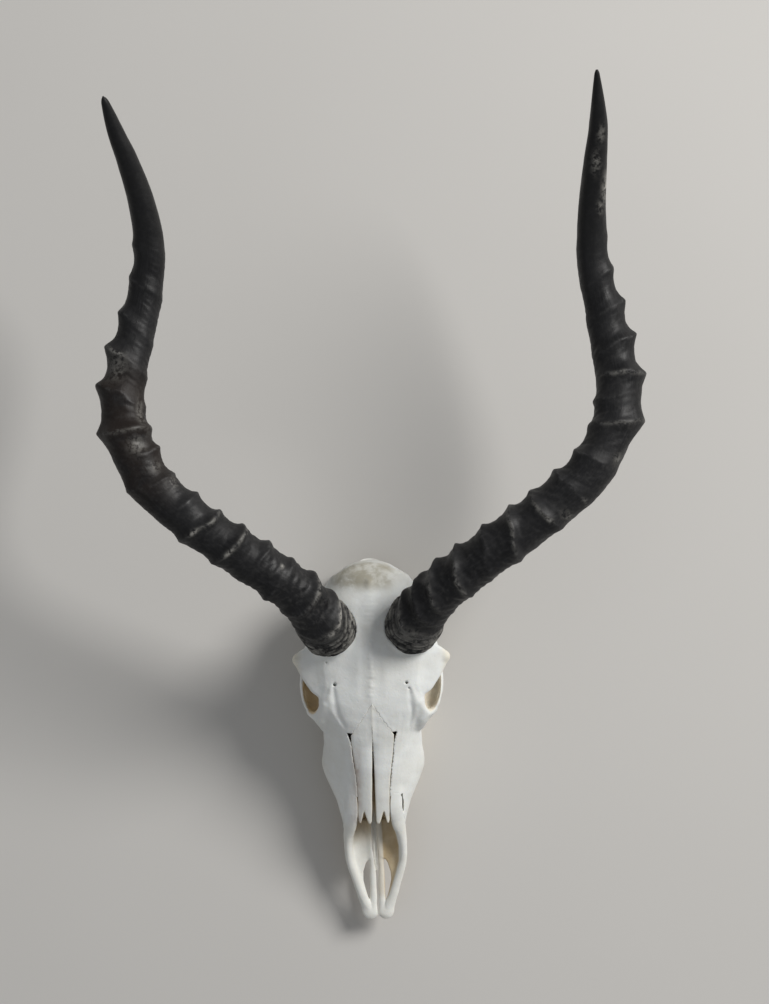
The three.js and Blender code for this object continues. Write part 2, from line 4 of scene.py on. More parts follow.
import bpy
import numpy as np
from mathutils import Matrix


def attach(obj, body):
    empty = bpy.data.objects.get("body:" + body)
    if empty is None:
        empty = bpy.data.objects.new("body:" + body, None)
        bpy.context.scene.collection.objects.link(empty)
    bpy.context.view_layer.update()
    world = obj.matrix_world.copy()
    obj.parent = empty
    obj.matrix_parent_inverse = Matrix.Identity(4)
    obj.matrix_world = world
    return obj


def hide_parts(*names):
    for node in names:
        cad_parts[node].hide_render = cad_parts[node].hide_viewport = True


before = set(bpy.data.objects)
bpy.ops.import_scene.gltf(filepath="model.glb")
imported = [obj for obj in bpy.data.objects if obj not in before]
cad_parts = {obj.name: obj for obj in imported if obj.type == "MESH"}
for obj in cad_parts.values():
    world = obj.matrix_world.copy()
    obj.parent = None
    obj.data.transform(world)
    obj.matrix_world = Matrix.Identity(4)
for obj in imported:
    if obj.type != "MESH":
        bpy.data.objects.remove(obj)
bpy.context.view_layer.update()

import openvdb
from mathutils import Matrix, Vector

# Everything is drawn in millimetres in a head frame: x = 0 is the midline, y = 0 is midway between the horn
# bases, and z = 0 is the floor. SHIFT moves it to the row frame.
MM = 0.001
SHIFT = np.array([-5.032, -85.891, 0.0])
FAR = 30.0  # distance given to places that no shape reaches
WINDOW_PAD = 8  # how far past its box a shape is still blended in
UPWARD = (0, 0, 1)
LENGTHWISE = (0, 1, 0)

# ---------------------------------------- camera
CAMERA_HEIGHT = 2200.0
CAMERA_XY = (13.18, 97.5)  # head frame
CAMERA_ROLL = math.radians(1.5)
CAMERA_HALF_TALL = 0.18407  # half of the frame's height at distance 1
SENSOR = 36.0

cam_data = bpy.data.cameras.new("camera")
cam = bpy.data.objects.new("camera", cam_data)
bpy.context.scene.collection.objects.link(cam)
bpy.context.scene.camera = cam
cam_data.sensor_width = SENSOR
cam_data.lens = SENSOR / 2 / CAMERA_HALF_TALL
cam_data.clip_start = 0.05
cam_data.clip_end = 20.0
right = Vector((math.cos(CAMERA_ROLL), -math.sin(CAMERA_ROLL), 0))
up = Vector((math.sin(CAMERA_ROLL), math.cos(CAMERA_ROLL), 0))
cam_at = Vector(((CAMERA_XY[0] + SHIFT[0]) * MM, (CAMERA_XY[1] + SHIFT[1]) * MM, CAMERA_HEIGHT * MM))
cam.matrix_world = Matrix.Translation(cam_at) @ Matrix((right, up, Vector((0, 0, 1)))).transposed().to_4x4()


# ---------------------------------------- distance fields
def smooth_min(a, b, k):
    h = np.maximum(k - np.abs(a - b), 0.0) / k
    return np.minimum(a, b) - h * h * (k * 0.25)


def smooth_max(a, b, k):
    return -smooth_min(-a, -b, k)


class Field:
    """Signed distances in millimetres on a grid, negative inside."""

    def __init__(self, lo, hi, step):
        lo = np.array(lo, float)
        n = np.ceil((np.array(hi, float) - lo) / step).astype(int) + 1
        self.step = step
        self.axes = [(lo[i] + step * np.arange(n[i])).astype(np.float32) for i in range(3)]
        self.v = np.full(n, FAR, np.float32)

    @classmethod
    def of(cls, step, axes, v):
        out = cls.__new__(cls)
        out.step, out.axes, out.v = step, axes, v
        return out

    def grid(self):
        x, y, z = self.axes
        return x[:, None, None], y[None, :, None], z[None, None, :]

    def window(self, box, pad):
        """The part of the grid within pad of a box, with its x, y and z."""
        part = []
        for axis, low, high in zip(self.axes, *box):
            a = int(np.searchsorted(axis, low - pad))
            b = int(np.searchsorted(axis, high + pad)) + 1
            part.append(slice(max(a - 1, 0), min(b, len(axis))))
        x, y, z = (axis[cut] for axis, cut in zip(self.axes, part))
        return tuple(part), x[:, None, None], y[None, :, None], z[None, None, :]

    def add(self, shape, k):
        box, f = shape
        part, x, y, z = self.window(box, 2 * k + WINDOW_PAD)
        if self.v[part].size:
            self.v[part] = smooth_min(self.v[part], f(x, y, z), k)

    def cut(self, shape, k):
        box, f = shape
        part, x, y, z = self.window(box, 2 * k + WINDOW_PAD)
        if self.v[part].size:
            self.v[part] = smooth_max(self.v[part], -f(x, y, z), k)

    def dent(self, box, pad, amount):
        """Moves the surface by amount(x, y, z) millimetres, positive inward."""
        part, x, y, z = self.window(box, pad)
        self.v[part] += amount(x, y, z)

    def full(self):
        """The field over both halves of the head, from one that starts at x = 0."""
        x, y, z = self.axes
        return Field.of(self.step, [np.concatenate([-x[:0:-1], x]), y, z],
                        np.concatenate([self.v[:0:-1], self.v], axis=0))

    def polygons(self):
        grid = openvdb.FloatGrid(10.0)
        grid.copyFromArray(np.ascontiguousarray(np.clip(self.v, -9.0, 9.0)), tolerance=0.0)
        points, triangles, quads = grid.convertToPolygons(0.0, 0.0)
        points = points * self.step + np.array([axis[0] for axis in self.axes])
        return points, [*map(tuple, triangles.tolist()), *map(tuple, quads.tolist())]

    def sample(self, x, y, z):
        """Distances on another grid, by trilinear reading."""
        p = np.stack(np.broadcast_arrays(x, y, z), axis=-1)
        q = (p.reshape(-1, 3) - np.array([axis[0] for axis in self.axes])) / self.step
        q = np.clip(q, 0, np.array(self.v.shape) - 1.001)
        i = q.astype(int)
        f = q - i
        out = 0.0
        for corner in itertools.product((0, 1), repeat=3):
            w = 1.0
            for axis, far in enumerate(corner):
                w = w * (f[:, axis] if far else 1 - f[:, axis])
            out = out + w * self.v[tuple((i + corner).T)]
        return out.reshape(p.shape[:3]).astype(np.float32)


def ellipsoid(centre, radii):
    c, r = np.array(centre, np.float32), np.array(radii, np.float32)

    def f(x, y, z):
        p = (x - c[0], y - c[1], z - c[2])
        k0 = np.sqrt(sum((q / a) ** 2 for q, a in zip(p, r)))
        k1 = np.sqrt(sum((q / a**2) ** 2 for q, a in zip(p, r)))
        return k0 * (k0 - 1) / np.maximum(k1, 1e-4)

    return (c - r, c + r), f


def catmull(rows, count, mirror=False):
    """A smooth run of count rows through the given rows, evenly spaced by the distance of their first three.
    With mirror the run meets its own image over x = 0 at both ends."""
    p = np.array(rows, float)
    if mirror:
        flip = np.ones(p.shape[1])
        flip[0] = -1
        ends = np.vstack([p[1] * flip, p, p[-2] * flip])
    else:
        ends = np.vstack([2 * p[0] - p[1], p, 2 * p[-1] - p[-2]])
    fine = []
    t = np.linspace(0, 1, 24, endpoint=False)[:, None]
    for a, b, c, d in zip(ends[:-3], ends[1:-2], ends[2:-1], ends[3:]):
        fine.append(0.5 * (2 * b + (c - a) * t + (2 * a - 5 * b + 4 * c - d) * t**2
                           + (3 * b - a - 3 * c + d) * t**3))
    fine = np.vstack([*fine, p[-1:]])
    run = np.concatenate([[0], np.cumsum(np.linalg.norm(np.diff(fine[:, :3], axis=0), axis=1))])
    at = np.linspace(0, run[-1], count)
    return np.stack([np.interp(at, run, fine[:, k]) for k in range(fine.shape[1])], axis=1)


def dot(p, q):
    return p[0] * q[0] + p[1] * q[1] + p[2] * q[2]


def swept(rows, count, distance):
    """A shape along a smooth path. Rows are x, y, z and sizes; distance reads the way from the path to each
    point, the direction of the path and the sizes there."""
    p = catmull(rows, count).astype(np.float32)
    r = p[:, 3:].max()
    box = (p[:, :3].min(0) - r, p[:, :3].max(0) + r)

    def f(x, y, z):
        out = None
        for a, b in zip(p[:-1], p[1:]):
            d = b[:3] - a[:3]
            t = np.clip(dot((x - a[0], y - a[1], z - a[2]), d) / float((d * d).sum()), 0, 1)
            away = (x - a[0] - d[0] * t, y - a[1] - d[1] * t, z - a[2] - d[2] * t)
            g = distance(away, d, [start + (end - start) * t for start, end in zip(a[3:], b[3:])])
            out = g if out is None else np.minimum(out, g)
        return out

    return box, f


def rod(rows, count=14):
    """A round rod of changing radius. Rows are x, y, z, radius."""
    return swept(rows, count, lambda away, d, sizes: np.sqrt(dot(away, away)) - sizes[0])


def strap(rows, height_way, count=14):
    """A flattened rod. Rows are x, y, z, half width, half height; height_way sets the height direction."""
    way = np.array(height_way, np.float32)

    def distance(away, d, sizes):
        side = np.cross(d, way)
        side /= np.linalg.norm(side)
        rise = np.cross(side, d)
        rise /= np.linalg.norm(rise)
        low = np.minimum(*sizes)
        u = dot(away, side) / sizes[0]
        v = dot(away, rise) / sizes[1]
        w = dot(away, d / np.sqrt(float((d * d).sum()))) / low
        return (np.sqrt(u * u + v * v + w * w) - 1) * low

    return swept(rows, count, distance)


def outline_distance(px, py, x, y):
    """Signed distance from points to a closed outline in a plane, negative inside."""
    best = np.full(np.broadcast(x, y).shape, 1e9, np.float32)
    inside = np.zeros(best.shape, bool)
    n = len(px)
    for i in range(n):
        ax, ay, bx, by = px[i], py[i], px[(i + 1) % n], py[(i + 1) % n]
        dx, dy = bx - ax, by - ay
        size = dx * dx + dy * dy
        if size < 1e-9:
            continue
        t = np.clip(((x - ax) * dx + (y - ay) * dy) / size, 0, 1)
        best = np.minimum(best, (x - ax - dx * t) ** 2 + (y - ay - dy * t) ** 2)
        if ay != by:
            crosses = (ay > y) != (by > y)
            inside ^= crosses & (x < ax + (y - ay) * (dx / dy))
    best = np.sqrt(best)
    return np.where(inside, -best, best)


def plate(outline, middle, half, k=2.0, smooth=0):
    """A plate whose plan is an outline, at height middle(x, y). half, a number or f(x, y), is half its
    thickness."""
    o = np.array(outline, np.float32)
    if smooth:
        closed = np.vstack([o, o[:1]])
        o = catmull(np.column_stack([closed, np.zeros(len(closed))]), smooth)[:-1, :2].astype(np.float32)
    heights = [*middle(o[:, 0], o[:, 1]), middle(*o.mean(0))]
    box = ((*o.min(0), float(min(heights)) - 8), (*o.max(0), float(max(heights)) + 8))

    def f(x, y, z):
        flat = outline_distance(o[:, 0], o[:, 1], x[:, :, 0], y[:, :, 0])[:, :, None]
        h = half(x, y) if callable(half) else half
        return smooth_max(flat, np.abs(z - middle(x, y)) - h, k)

    return box, f


def loft(stations, end_blend=2.0, per_half=28, soften=7.0):
    """Solid through half outlines [x, z] at rows of y, mirrored over x = 0."""
    ys = np.array([s[0] for s in stations], float)
    keys = np.array([s[1] for s in stations], float)

    def f(x, y, z):
        yy = y.ravel()
        gx, gz = x[:, 0, 0][:, None], z[0, 0, :][None, :]
        out = np.empty((gx.shape[0], len(yy), gz.shape[1]), np.float32)
        taps = np.linspace(-soften, soften, 9)
        weight = np.hanning(11)[1:-1]
        weight /= weight.sum()
        for j, at in enumerate(yy):
            key = np.zeros(keys.shape[1:])
            for tap, w in zip(taps, weight):
                near = np.clip(at + tap, ys[0], ys[-1])
                key += w * np.array([[np.interp(near, ys, keys[:, a, b]) for b in (0, 1)]
                                     for a in range(keys.shape[1])])
            half = catmull(np.column_stack([key, np.zeros(len(key))]), per_half, True)[:, :2]
            half[0, 0] = half[-1, 0] = 0
            ring = np.vstack([half, (half * [-1, 1])[-2:0:-1]]).astype(np.float32)
            out[:, j, :] = outline_distance(ring[:, 0], ring[:, 1], gx, gz)
        ends = np.maximum(ys[0] - y, y - ys[-1])
        return smooth_max(out, ends.astype(np.float32), end_blend)

    reach_x, low, high = keys[:, :, 0].max(), keys[:, :, 1].min(), keys[:, :, 1].max()
    return ((-reach_x, ys[0], low), (reach_x, ys[-1], high)), f


def waves(seed, count, shortest, longest, height):
    """Smooth uneven relief: a sum of a few random waves, lengths in millimetres."""
    rng = np.random.default_rng(seed)
    way = rng.normal(size=(count, 3))
    way /= np.linalg.norm(way, axis=1, keepdims=True)
    length = rng.uniform(shortest, longest, count)
    phase = rng.uniform(0, 2 * np.pi, count)
    k = (way * (2 * np.pi / length)[:, None]).astype(np.float32)

    def f(x, y, z):
        out = 0.0
        for (a, b, c), p in zip(k, phase):
            out = out + np.sin(a * x + b * y + c * z + np.float32(p))
        return out * np.float32(height / math.sqrt(count))

    return f


# ---------------------------------------- meshes
def shade_smooth(mesh):
    mesh.polygons.foreach_set("use_smooth", np.ones(len(mesh.polygons), bool))


def mesh_object(name, points, faces):
    mesh = bpy.data.meshes.new(name)
    mesh.from_pydata(((points + SHIFT) * MM).tolist(), [], faces)
    mesh.update()
    shade_smooth(mesh)
    ob = bpy.data.objects.new(name, mesh)
    bpy.context.scene.collection.objects.link(ob)
    return ob


def outward(points, faces):
    """The faces, turned over if they look inward. A few thousand of them are enough to tell."""
    points = points - points.mean(0)
    some = faces[::max(1, len(faces) // 4000)]
    volume = sum(np.dot(points[f[0]], np.cross(points[f[1]], points[f[2]])) for f in some)
    return [f[::-1] for f in faces] if volume < 0 else faces


def drop_crumbs(points, faces):
    """Keeps the largest connected part of a mesh."""
    parent = np.arange(len(points))
    edges = np.array([(f[i], f[(i + 1) % len(f)]) for f in faces for i in range(len(f))])
    while True:
        low = np.minimum(parent[edges[:, 0]], parent[edges[:, 1]])
        new = parent.copy()
        np.minimum.at(new, edges[:, 0], low)
        np.minimum.at(new, edges[:, 1], low)
        new = new[new]
        if (new == parent).all():
            break
        parent = new
    labels, counts = np.unique(parent, return_counts=True)
    keep = parent == labels[counts.argmax()]
    index = np.cumsum(keep) - 1
    return points[keep], [tuple(int(index[v]) for v in f) for f in faces if keep[f[0]]]


def midline(y):
    """The head is a little uneven: how far its middle lies to the right at each distance along it."""
    return np.interp(y, [-240, -199, -175, -155, -110, -57, 0, 50],
                     [-0.4, -0.4, -1.05, -1.6, -1.1, -0.8, 0, 0])


def field_object(name, field, triangles, lean=True):
    """The surface of a field as a mesh of at most so many triangles."""
    points, faces = drop_crumbs(*field.polygons())
    if lean:
        points[:, 0] += midline(points[:, 1])
    faces = outward(points, faces)
    ob = mesh_object(name, points, faces)
    count = sum(len(f) - 2 for f in faces)
    if count > triangles:
        ob.modifiers.new("fewer", "DECIMATE").ratio = triangles / count
        made = bpy.data.meshes.new_from_object(ob.evaluated_get(bpy.context.evaluated_depsgraph_get()))
        ob.modifiers.clear()
        old, ob.data = ob.data, made
        bpy.data.meshes.remove(old)
        made.name = name
        shade_smooth(made)
    return ob


def head_points(ob, lean=True):
    """Vertex positions in millimetres in the head frame, before the head's unevenness."""
    co = np.empty(len(ob.data.vertices) * 3, np.float32)
    ob.data.vertices.foreach_get("co", co)
    p = co.reshape(-1, 3) / MM - SHIFT
    if lean:
        p[:, 0] -= midline(p[:, 1])
    return p


def vertex_normals(ob):
    n = np.empty(len(ob.data.vertices) * 3, np.float32)
    ob.data.vertex_normals.foreach_get("vector", n)
    return n.reshape(-1, 3)


def set_attribute(ob, name, values):
    attribute = ob.data.attributes.new(name, "FLOAT", "POINT")
    attribute.data.foreach_set("value", np.ascontiguousarray(values, np.float32))


def mark(ob, **shares):
    """Stores numbers from 0 to 1 at the vertices under these names, for the materials. Unnamed ones are 0."""
    for name, values in shares.items():
        set_attribute(ob, name, np.clip(values, 0, 1))


def ramp01(v, a, b):
    t = np.clip((v - a) / (b - a), 0, 1)
    return t * t * (3 - 2 * t)


def finish_piece(ob, nodes, material):
    ob.data.materials.clear()
    ob.data.materials.append(material)
    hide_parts(*nodes)
    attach(ob, "root")


# ---------------------------------------- materials
class Nodes:
    """A short way of writing a material's node tree."""

    def __init__(self, name):
        self.material = bpy.data.materials.new(name)
        self.material.use_nodes = True
        self.tree = self.material.node_tree
        self.shader = self.tree.nodes["Principled BSDF"].inputs
        self.place = self.new("ShaderNodeTexCoord").outputs["Object"]

    def new(self, kind, **values):
        node = self.tree.nodes.new(kind)
        for key, value in values.items():
            setattr(node, key, value)
        return node

    def put(self, socket, value):
        if isinstance(value, bpy.types.NodeSocket):
            self.tree.links.new(value, socket)
        else:
            socket.default_value = value

    def math(self, operation, a, b):
        node = self.new("ShaderNodeMath", operation=operation)
        self.put(node.inputs[0], a)
        self.put(node.inputs[1], b)
        return node.outputs[0]

    def times(self, a, b):
        return self.math("MULTIPLY", a, b)

    def mix(self, factor, a, b):
        node = self.new("ShaderNodeMix", data_type="RGBA")
        self.put(node.inputs["Factor"], factor)
        for key, colour in (("A", a), ("B", b)):
            self.put(node.inputs[key], (*colour, 1.0) if isinstance(colour, tuple) else colour)
        return node.outputs["Result"]

    def steps(self, value, low, high, to_low=0.0, to_high=1.0):
        node = self.new("ShaderNodeMapRange", interpolation_type="SMOOTHSTEP")
        self.put(node.inputs["Value"], value)
        for key, v in (("From Min", low), ("From Max", high), ("To Min", to_low), ("To Max", to_high)):
            node.inputs[key].default_value = v
        return node.outputs["Result"]

    def noise(self, per_metre, detail=4.0, rough=0.55, stretch=None, twist=0.0, at=None):
        at = self.place if at is None else at
        if stretch is not None:
            mapping = self.new("ShaderNodeMapping")
            mapping.inputs["Scale"].default_value = stretch
            self.put(mapping.inputs["Vector"], at)
            at = mapping.outputs["Vector"]
        node = self.new("ShaderNodeTexNoise")
        for key, v in (("Vector", at), ("Scale", per_metre), ("Detail", detail), ("Roughness", rough),
                       ("Distortion", twist)):
            self.put(node.inputs[key], v)
        return node.outputs["Fac"]

    def attribute(self, name):
        return self.new("ShaderNodeAttribute", attribute_name=name).outputs["Fac"]

    def bump(self, height, distance, strength, before=None):
        node = self.new("ShaderNodeBump")
        node.inputs["Distance"].default_value = distance
        node.inputs["Strength"].default_value = strength
        self.put(node.inputs["Height"], height)
        if before is not None:
            self.put(node.inputs["Normal"], before)
        return node.outputs["Normal"]


def bone_material():
    n = Nodes("bleached_bone")
    # The bleached surface, a little warmer at edges, with the stains of the braincase, painted paler on its
    # lit right side, and of the left side.
    fine = n.noise(160, 5, 0.6)
    colour = n.mix(n.steps(n.noise(28, 3), 0.35, 0.65), (0.83, 0.85, 0.835), (0.77, 0.78, 0.75))
    colour = n.mix(n.times(n.steps(fine, 0.45, 0.75), 0.25), colour, (0.68, 0.66, 0.60))
    colour = n.mix(n.attribute("warm"), colour, (0.78, 0.73, 0.60))
    mottle = n.steps(n.noise(75, 5, 0.62, twist=0.4), 0.34, 0.60, 0.45, 1.0)
    colour = n.mix(n.times(n.attribute("thin"), mottle), colour, (0.37, 0.35, 0.285))
    rosy = n.steps(n.noise(110, 4, 0.6, (1, 0.3, 1)), 0.34, 0.62, 0.30, 1.0)
    colour = n.mix(n.times(n.attribute("pink"), rosy), colour, (0.47, 0.38, 0.32))
    # The tan walls inside the eye sockets and the nose. Less of it in the right socket is painted light; on
    # the right face of the nose opening it is partly painted shade.
    tan = n.mix(n.steps(n.noise(60, 4), 0.35, 0.65), (0.62, 0.475, 0.28), (0.74, 0.61, 0.40))
    colour = n.mix(n.attribute("tan"), colour, tan)
    # Joints between bones, with ragged edges, and painted shade in deep places.
    uneven = n.times(n.math("SUBTRACT", n.noise(900, 3, 0.6), 0.5), 0.55)
    ragged = n.math("ADD", n.attribute("seam"), uneven)
    seam = n.math("SUBTRACT", 1.0, n.steps(ragged, 0.04, 0.16))
    line = n.times(seam, n.attribute("seam_dark"))
    colour = n.mix(n.times(line, 0.8), colour, (0.30, 0.255, 0.19))
    n.put(n.shader["Base Color"], n.mix(n.attribute("deep"), colour, (0.12, 0.085, 0.05)))
    n.put(n.shader["Roughness"], n.steps(fine, 0.3, 0.7, 0.62, 0.78))
    n.shader["Subsurface Weight"].default_value = 0.06
    n.shader["Subsurface Radius"].default_value = (0.004, 0.003, 0.002)
    n.shader["Subsurface Scale"].default_value = 0.5
    pits = n.new("ShaderNodeTexVoronoi")
    n.put(pits.inputs["Vector"], n.place)
    pits.inputs["Scale"].default_value = 300
    relief = n.bump(n.noise(90, 3), 0.0012, 0.35)
    relief = n.bump(n.noise(420, 4, 0.6), 0.0003, 0.4, relief)
    relief = n.bump(n.steps(pits.outputs["Distance"], 0.08, 0.25), 0.00015, 0.35, relief)
    n.put(n.shader["Normal"], n.bump(n.math("SUBTRACT", 1.0, line), 0.0005, 0.8, relief))
    return n.material


def tooth_material():
    n = Nodes("tooth_enamel")
    ivory = n.mix(n.steps(n.noise(120, 4), 0.35, 0.65), (0.66, 0.60, 0.46), (0.74, 0.70, 0.58))
    stain = n.times(n.attribute("groove"), n.steps(n.noise(200, 3), 0.3, 0.7, 0.4, 1.0))
    n.put(n.shader["Base Color"], n.mix(stain, ivory, (0.16, 0.11, 0.06)))
    n.put(n.shader["Roughness"], n.steps(n.noise(300, 3), 0.3, 0.7, 0.28, 0.45))
    n.put(n.shader["Normal"], n.bump(n.noise(500, 3, 0.6, (1, 1, 0.25)), 0.0002, 0.5))
    return n.material


def horn_material():
    n = Nodes("horn_keratin")
    patch = n.noise(60, 5, 0.6)
    along = n.new("ShaderNodeCombineXYZ")
    for socket, name in zip(along.inputs, ("grain_x", "grain_y", "grain_z")):
        n.put(socket, n.attribute(name))
    strand = n.noise(900, 5, 0.6, at=along.outputs["Vector"])
    # Near-black keratin with paler strands and patches, brown for a stretch, and even on the smooth tip.
    colour = n.mix(n.steps(n.noise(22, 4), 0.38, 0.62), (0.0066, 0.0066, 0.0072), (0.0115, 0.0114, 0.0122))
    colour = n.mix(n.steps(strand, 0.46, 0.72, 0.0, 0.8), colour, (0.020, 0.020, 0.0215))
    colour = n.mix(n.steps(patch, 0.45, 0.72), colour, (0.0145, 0.0143, 0.0152))
    brown = n.times(n.attribute("brown"), n.steps(patch, 0.30, 0.55, 0.25, 0.9))
    colour = n.mix(brown, colour, (0.0145, 0.0098, 0.0078))
    colour = n.mix(n.attribute("smooth_tip"), colour, (0.0085, 0.0085, 0.009))
    # Dust, left off as painted shade just past each ring; grey dust at the base with painted highlights on
    # the crests of its folds; scuffed crests partly painted as highlights; and chalky worn places.
    dust_and_ledge_shade = n.times(n.attribute("dust_and_ledge_shade"), n.steps(n.noise(330, 5, 0.65), 0.45, 0.68))
    colour = n.mix(n.times(dust_and_ledge_shade, 0.55), colour, (0.075, 0.073, 0.070))
    collar_dust_and_highlight_mask = n.times(n.attribute("collar_dust_and_highlight"), n.steps(n.noise(120, 5, 0.68), 0.40, 0.64))
    colour = n.mix(n.times(collar_dust_and_highlight_mask, 0.9), colour, (0.335, 0.325, 0.295))
    crest = n.times(n.attribute("crest"), n.steps(n.noise(190, 5, 0.7), 0.46, 0.60))
    colour = n.mix(n.times(crest, 0.38), colour, (0.105, 0.104, 0.103))
    chalk = n.times(n.attribute("worn"), n.steps(n.noise(210, 6, 0.75), 0.42, 0.56))
    n.put(n.shader["Base Color"], n.mix(chalk, colour, (0.36, 0.347, 0.318)))
    rough = n.math("SUBTRACT", n.steps(patch, 0.3, 0.7, 0.42, 0.58), n.times(n.attribute("smooth_tip"), 0.06))
    n.put(n.shader["Roughness"], n.math("ADD", rough, n.times(n.attribute("collar_dust_and_highlight"), 0.18)))
    n.shader["Specular IOR Level"].default_value = 0.25
    relief = n.bump(strand, 0.0003, 0.35)
    relief = n.bump(n.noise(220, 5, 0.65), 0.0006, 0.40, relief)
    n.put(n.shader["Normal"], n.bump(n.noise(900, 3, 0.6), 0.0002, 0.35, relief))
    return n.material


def floor_material():
    n = Nodes("pale_floor")
    n.put(n.shader["Base Color"], n.mix(n.noise(3, 2), (0.60, 0.585, 0.56), (0.63, 0.615, 0.59)))
    n.shader["Roughness"].default_value = 0.9
    return n.material


BONE = bone_material()
TOOTH = tooth_material()
HORN = horn_material()

# ---------------------------------------- horns
# path: points along the middle of the horn. radius: distance along the horn, radius between the rings.
# rings: place on the inner edge, place on the outer edge, height inside, height outside, how far the front
# sags toward the base, and how much of the height goes round the front.
# lips: worn crests as ring number, turn around (0 outward, a quarter turn is the front), width, strength.
# worn: distance along, turn around, length, width, strength.
HORNS = {
    "horn_left": {
        "side": -1,
        "path": [
            (-31, -2, 90), (-39, 10, 114), (-55, 30, 129), (-93, 59, 144), (-131, 86.5, 153),
            (-165.7, 122.2, 156), (-180.7, 165.6, 153.5), (-179, 195.3, 149), (-165.3, 249.4, 144.5),
            (-158.5, 286.3, 149), (-161.6, 321.7, 162), (-170.6, 355.6, 181), (-177, 373.3, 192),
            (-184.6, 399, 208.8),
        ],
        "radius": [
            (0, 20.6), (22, 20.8), (33, 18.9), (48, 17.8), (68, 17.3), (110, 17.0), (134, 16.4), (178, 16.1),
            (212, 16.4), (228, 15.8), (256, 16.1), (280, 14.8), (300, 14.4), (316, 14.0), (344, 12.8),
            (364, 11.8), (398, 11.0), (420, 9.9), (444, 8.6), (460, 7.6), (470, 6.8), (480, 6.0), (490, 4.9),
            (499, 3.6), (503, 3.0), (506, 1.9), (507.6, 0.5),
        ],
        "rings": [
            (39, 37, 3.9, 1.4, 9, 1.0), (59, 56, 4.6, 1.4, 5, 1.0), (77, 79, 3.2, 3.0, 0, 0.1),
            (99, 104, 4.6, 0.8, 0, 0.12), (122, 127, 4.6, 1.8, 0, 1.0), (144, 156, 4.8, 2.6, 0, 1.0),
            (167, 176, 4.2, 0.4, 0, 0.25), (192, 204, 4.0, 3.4, 0, 0.1), (220, 222, 4.4, 0.4, 0, 0.15),
            (240, 244, 3.6, 7.4, 0, 1.0), (261, 274, 2.0, 8.0, 0, 0.25), (286, 303, 2.0, 7.0, 0, 0.2),
            (313, 331, 1.0, 5.6, 0, 0.2), (348, 359, 1.5, 3.2, 0, 0.2), (378, 386, 0.3, 2.2, 0, 0.2),
        ],
        "brown": (190, 282),
        "lips": [
            (0, 2.3, 0.6, 1.0), (0, 1.75, 0.35, 0.8), (1, 2.4, 0.6, 0.55), (4, 1.35, 0.25, 0.9),
            (4, 2.2, 0.7, 0.4), (5, 1.3, 0.22, 0.95), (5, 2.1, 0.6, 0.35), (9, 1.7, 1.1, 0.22),
            (11, 0.95, 0.4, 0.95),
        ],
        "worn": [
            (228, 1.9, 6, 0.35, 0.40), (207, 2.3, 4, 0.3, 0.35), (187, 2.4, 4, 0.3, 0.35),
            (288, 1.1, 9, 0.5, 0.35), (252, 2.5, 12, 0.2, 0.35), (84, 2.2, 1.4, 0.12, 0.8),
        ],
    },
    "horn_right": {
        "side": 1,
        "path": [
            (30.5, -1.3, 90), (38, 10.4, 114), (55, 30, 132), (94.5, 59.5, 148), (131.6, 85.6, 155.5),
            (167.3, 116.3, 158.5), (188.2, 155.8, 156), (190.2, 185, 152), (183, 230, 147.5),
            (174.6, 273, 151), (173.8, 311, 163.5), (175.8, 346, 182.5), (177.4, 370, 197),
            (175.5, 407, 220.5),
        ],
        "radius": [
            (0, 20.6), (22, 20.8), (33, 18.4), (48, 17.6), (80, 17.7), (103, 17.4), (126, 17.6), (148, 17.1),
            (192, 16.9), (222, 16.2), (245, 16.1), (264, 16.4), (295, 15.4), (327, 13.9), (350, 12.6),
            (381, 11.4), (400, 10.9), (420, 10.0), (444, 8.9), (460, 8.1), (470, 7.4), (480, 6.8), (490, 5.7),
            (500, 4.5), (510, 3.2), (519, 1.9), (523, 0.4),
        ],
        "rings": [
            (39, 36, 4.6, 1.0, 8, 1.0), (54, 44, 4.4, 0.6, 7, 1.0), (71, 53, 4.8, 1.0, 3, 0.9),
            (90, 76, 4.6, 1.6, 0, 1.0), (117, 96, 3.7, 0.8, 0, 0.35), (140, 124, 4.8, 2.0, 0, 1.05),
            (160, 162, 3.6, 1.8, 0, 1.05), (185, 188, 4.6, 0.5, 0, 0.45), (213, 212, 4.2, 0.8, 0, 0.6),
            (237, 253, 2.4, 6.0, 0, 0.8), (262, 268, 3.4, 0.3, 0, 0.4), (284, 282, 0.4, 7.4, 0, 0.9),
            (300, 310, 1.0, 7.0, 0, 0.3), (326, 337, 0.7, 5.2, 0, 0.35), (354, 364, 0.7, 3.2, 0, 0.3),
            (381, 390, 0.4, 0.9, 0, 0.2),
        ],
        "brown": (505, 506),
        "lips": [
            (0, 1.5, 0.9, 0.30), (0, 2.1, 0.4, 0.6), (2, 1.9, 0.6, 0.35), (3, 1.3, 0.6, 0.5),
            (5, 1.9, 0.9, 0.35), (6, 1.25, 0.2, 0.9), (6, 1.8, 0.6, 0.35), (9, 1.2, 0.9, 0.25),
            (11, 1.5, 0.9, 0.3), (7, 0.7, 0.3, 0.3),
        ],
        "worn": [
            (171, 0.7, 4, 0.4, 0.3), (222, 0.7, 4, 0.3, 0.3), (22, 1.2, 8, 0.8, 0.42), (24, 0.4, 6, 0.5, 0.4),
            (430, 0.35, 11, 0.45, 0.8), (415, 1.0, 5, 0.3, 0.4), (452, 1.6, 8, 0.4, 0.4),
            (474, 1.3, 6, 0.4, 0.35),
        ],
    },
}
AROUND = 128
ROW_STEP = 0.8


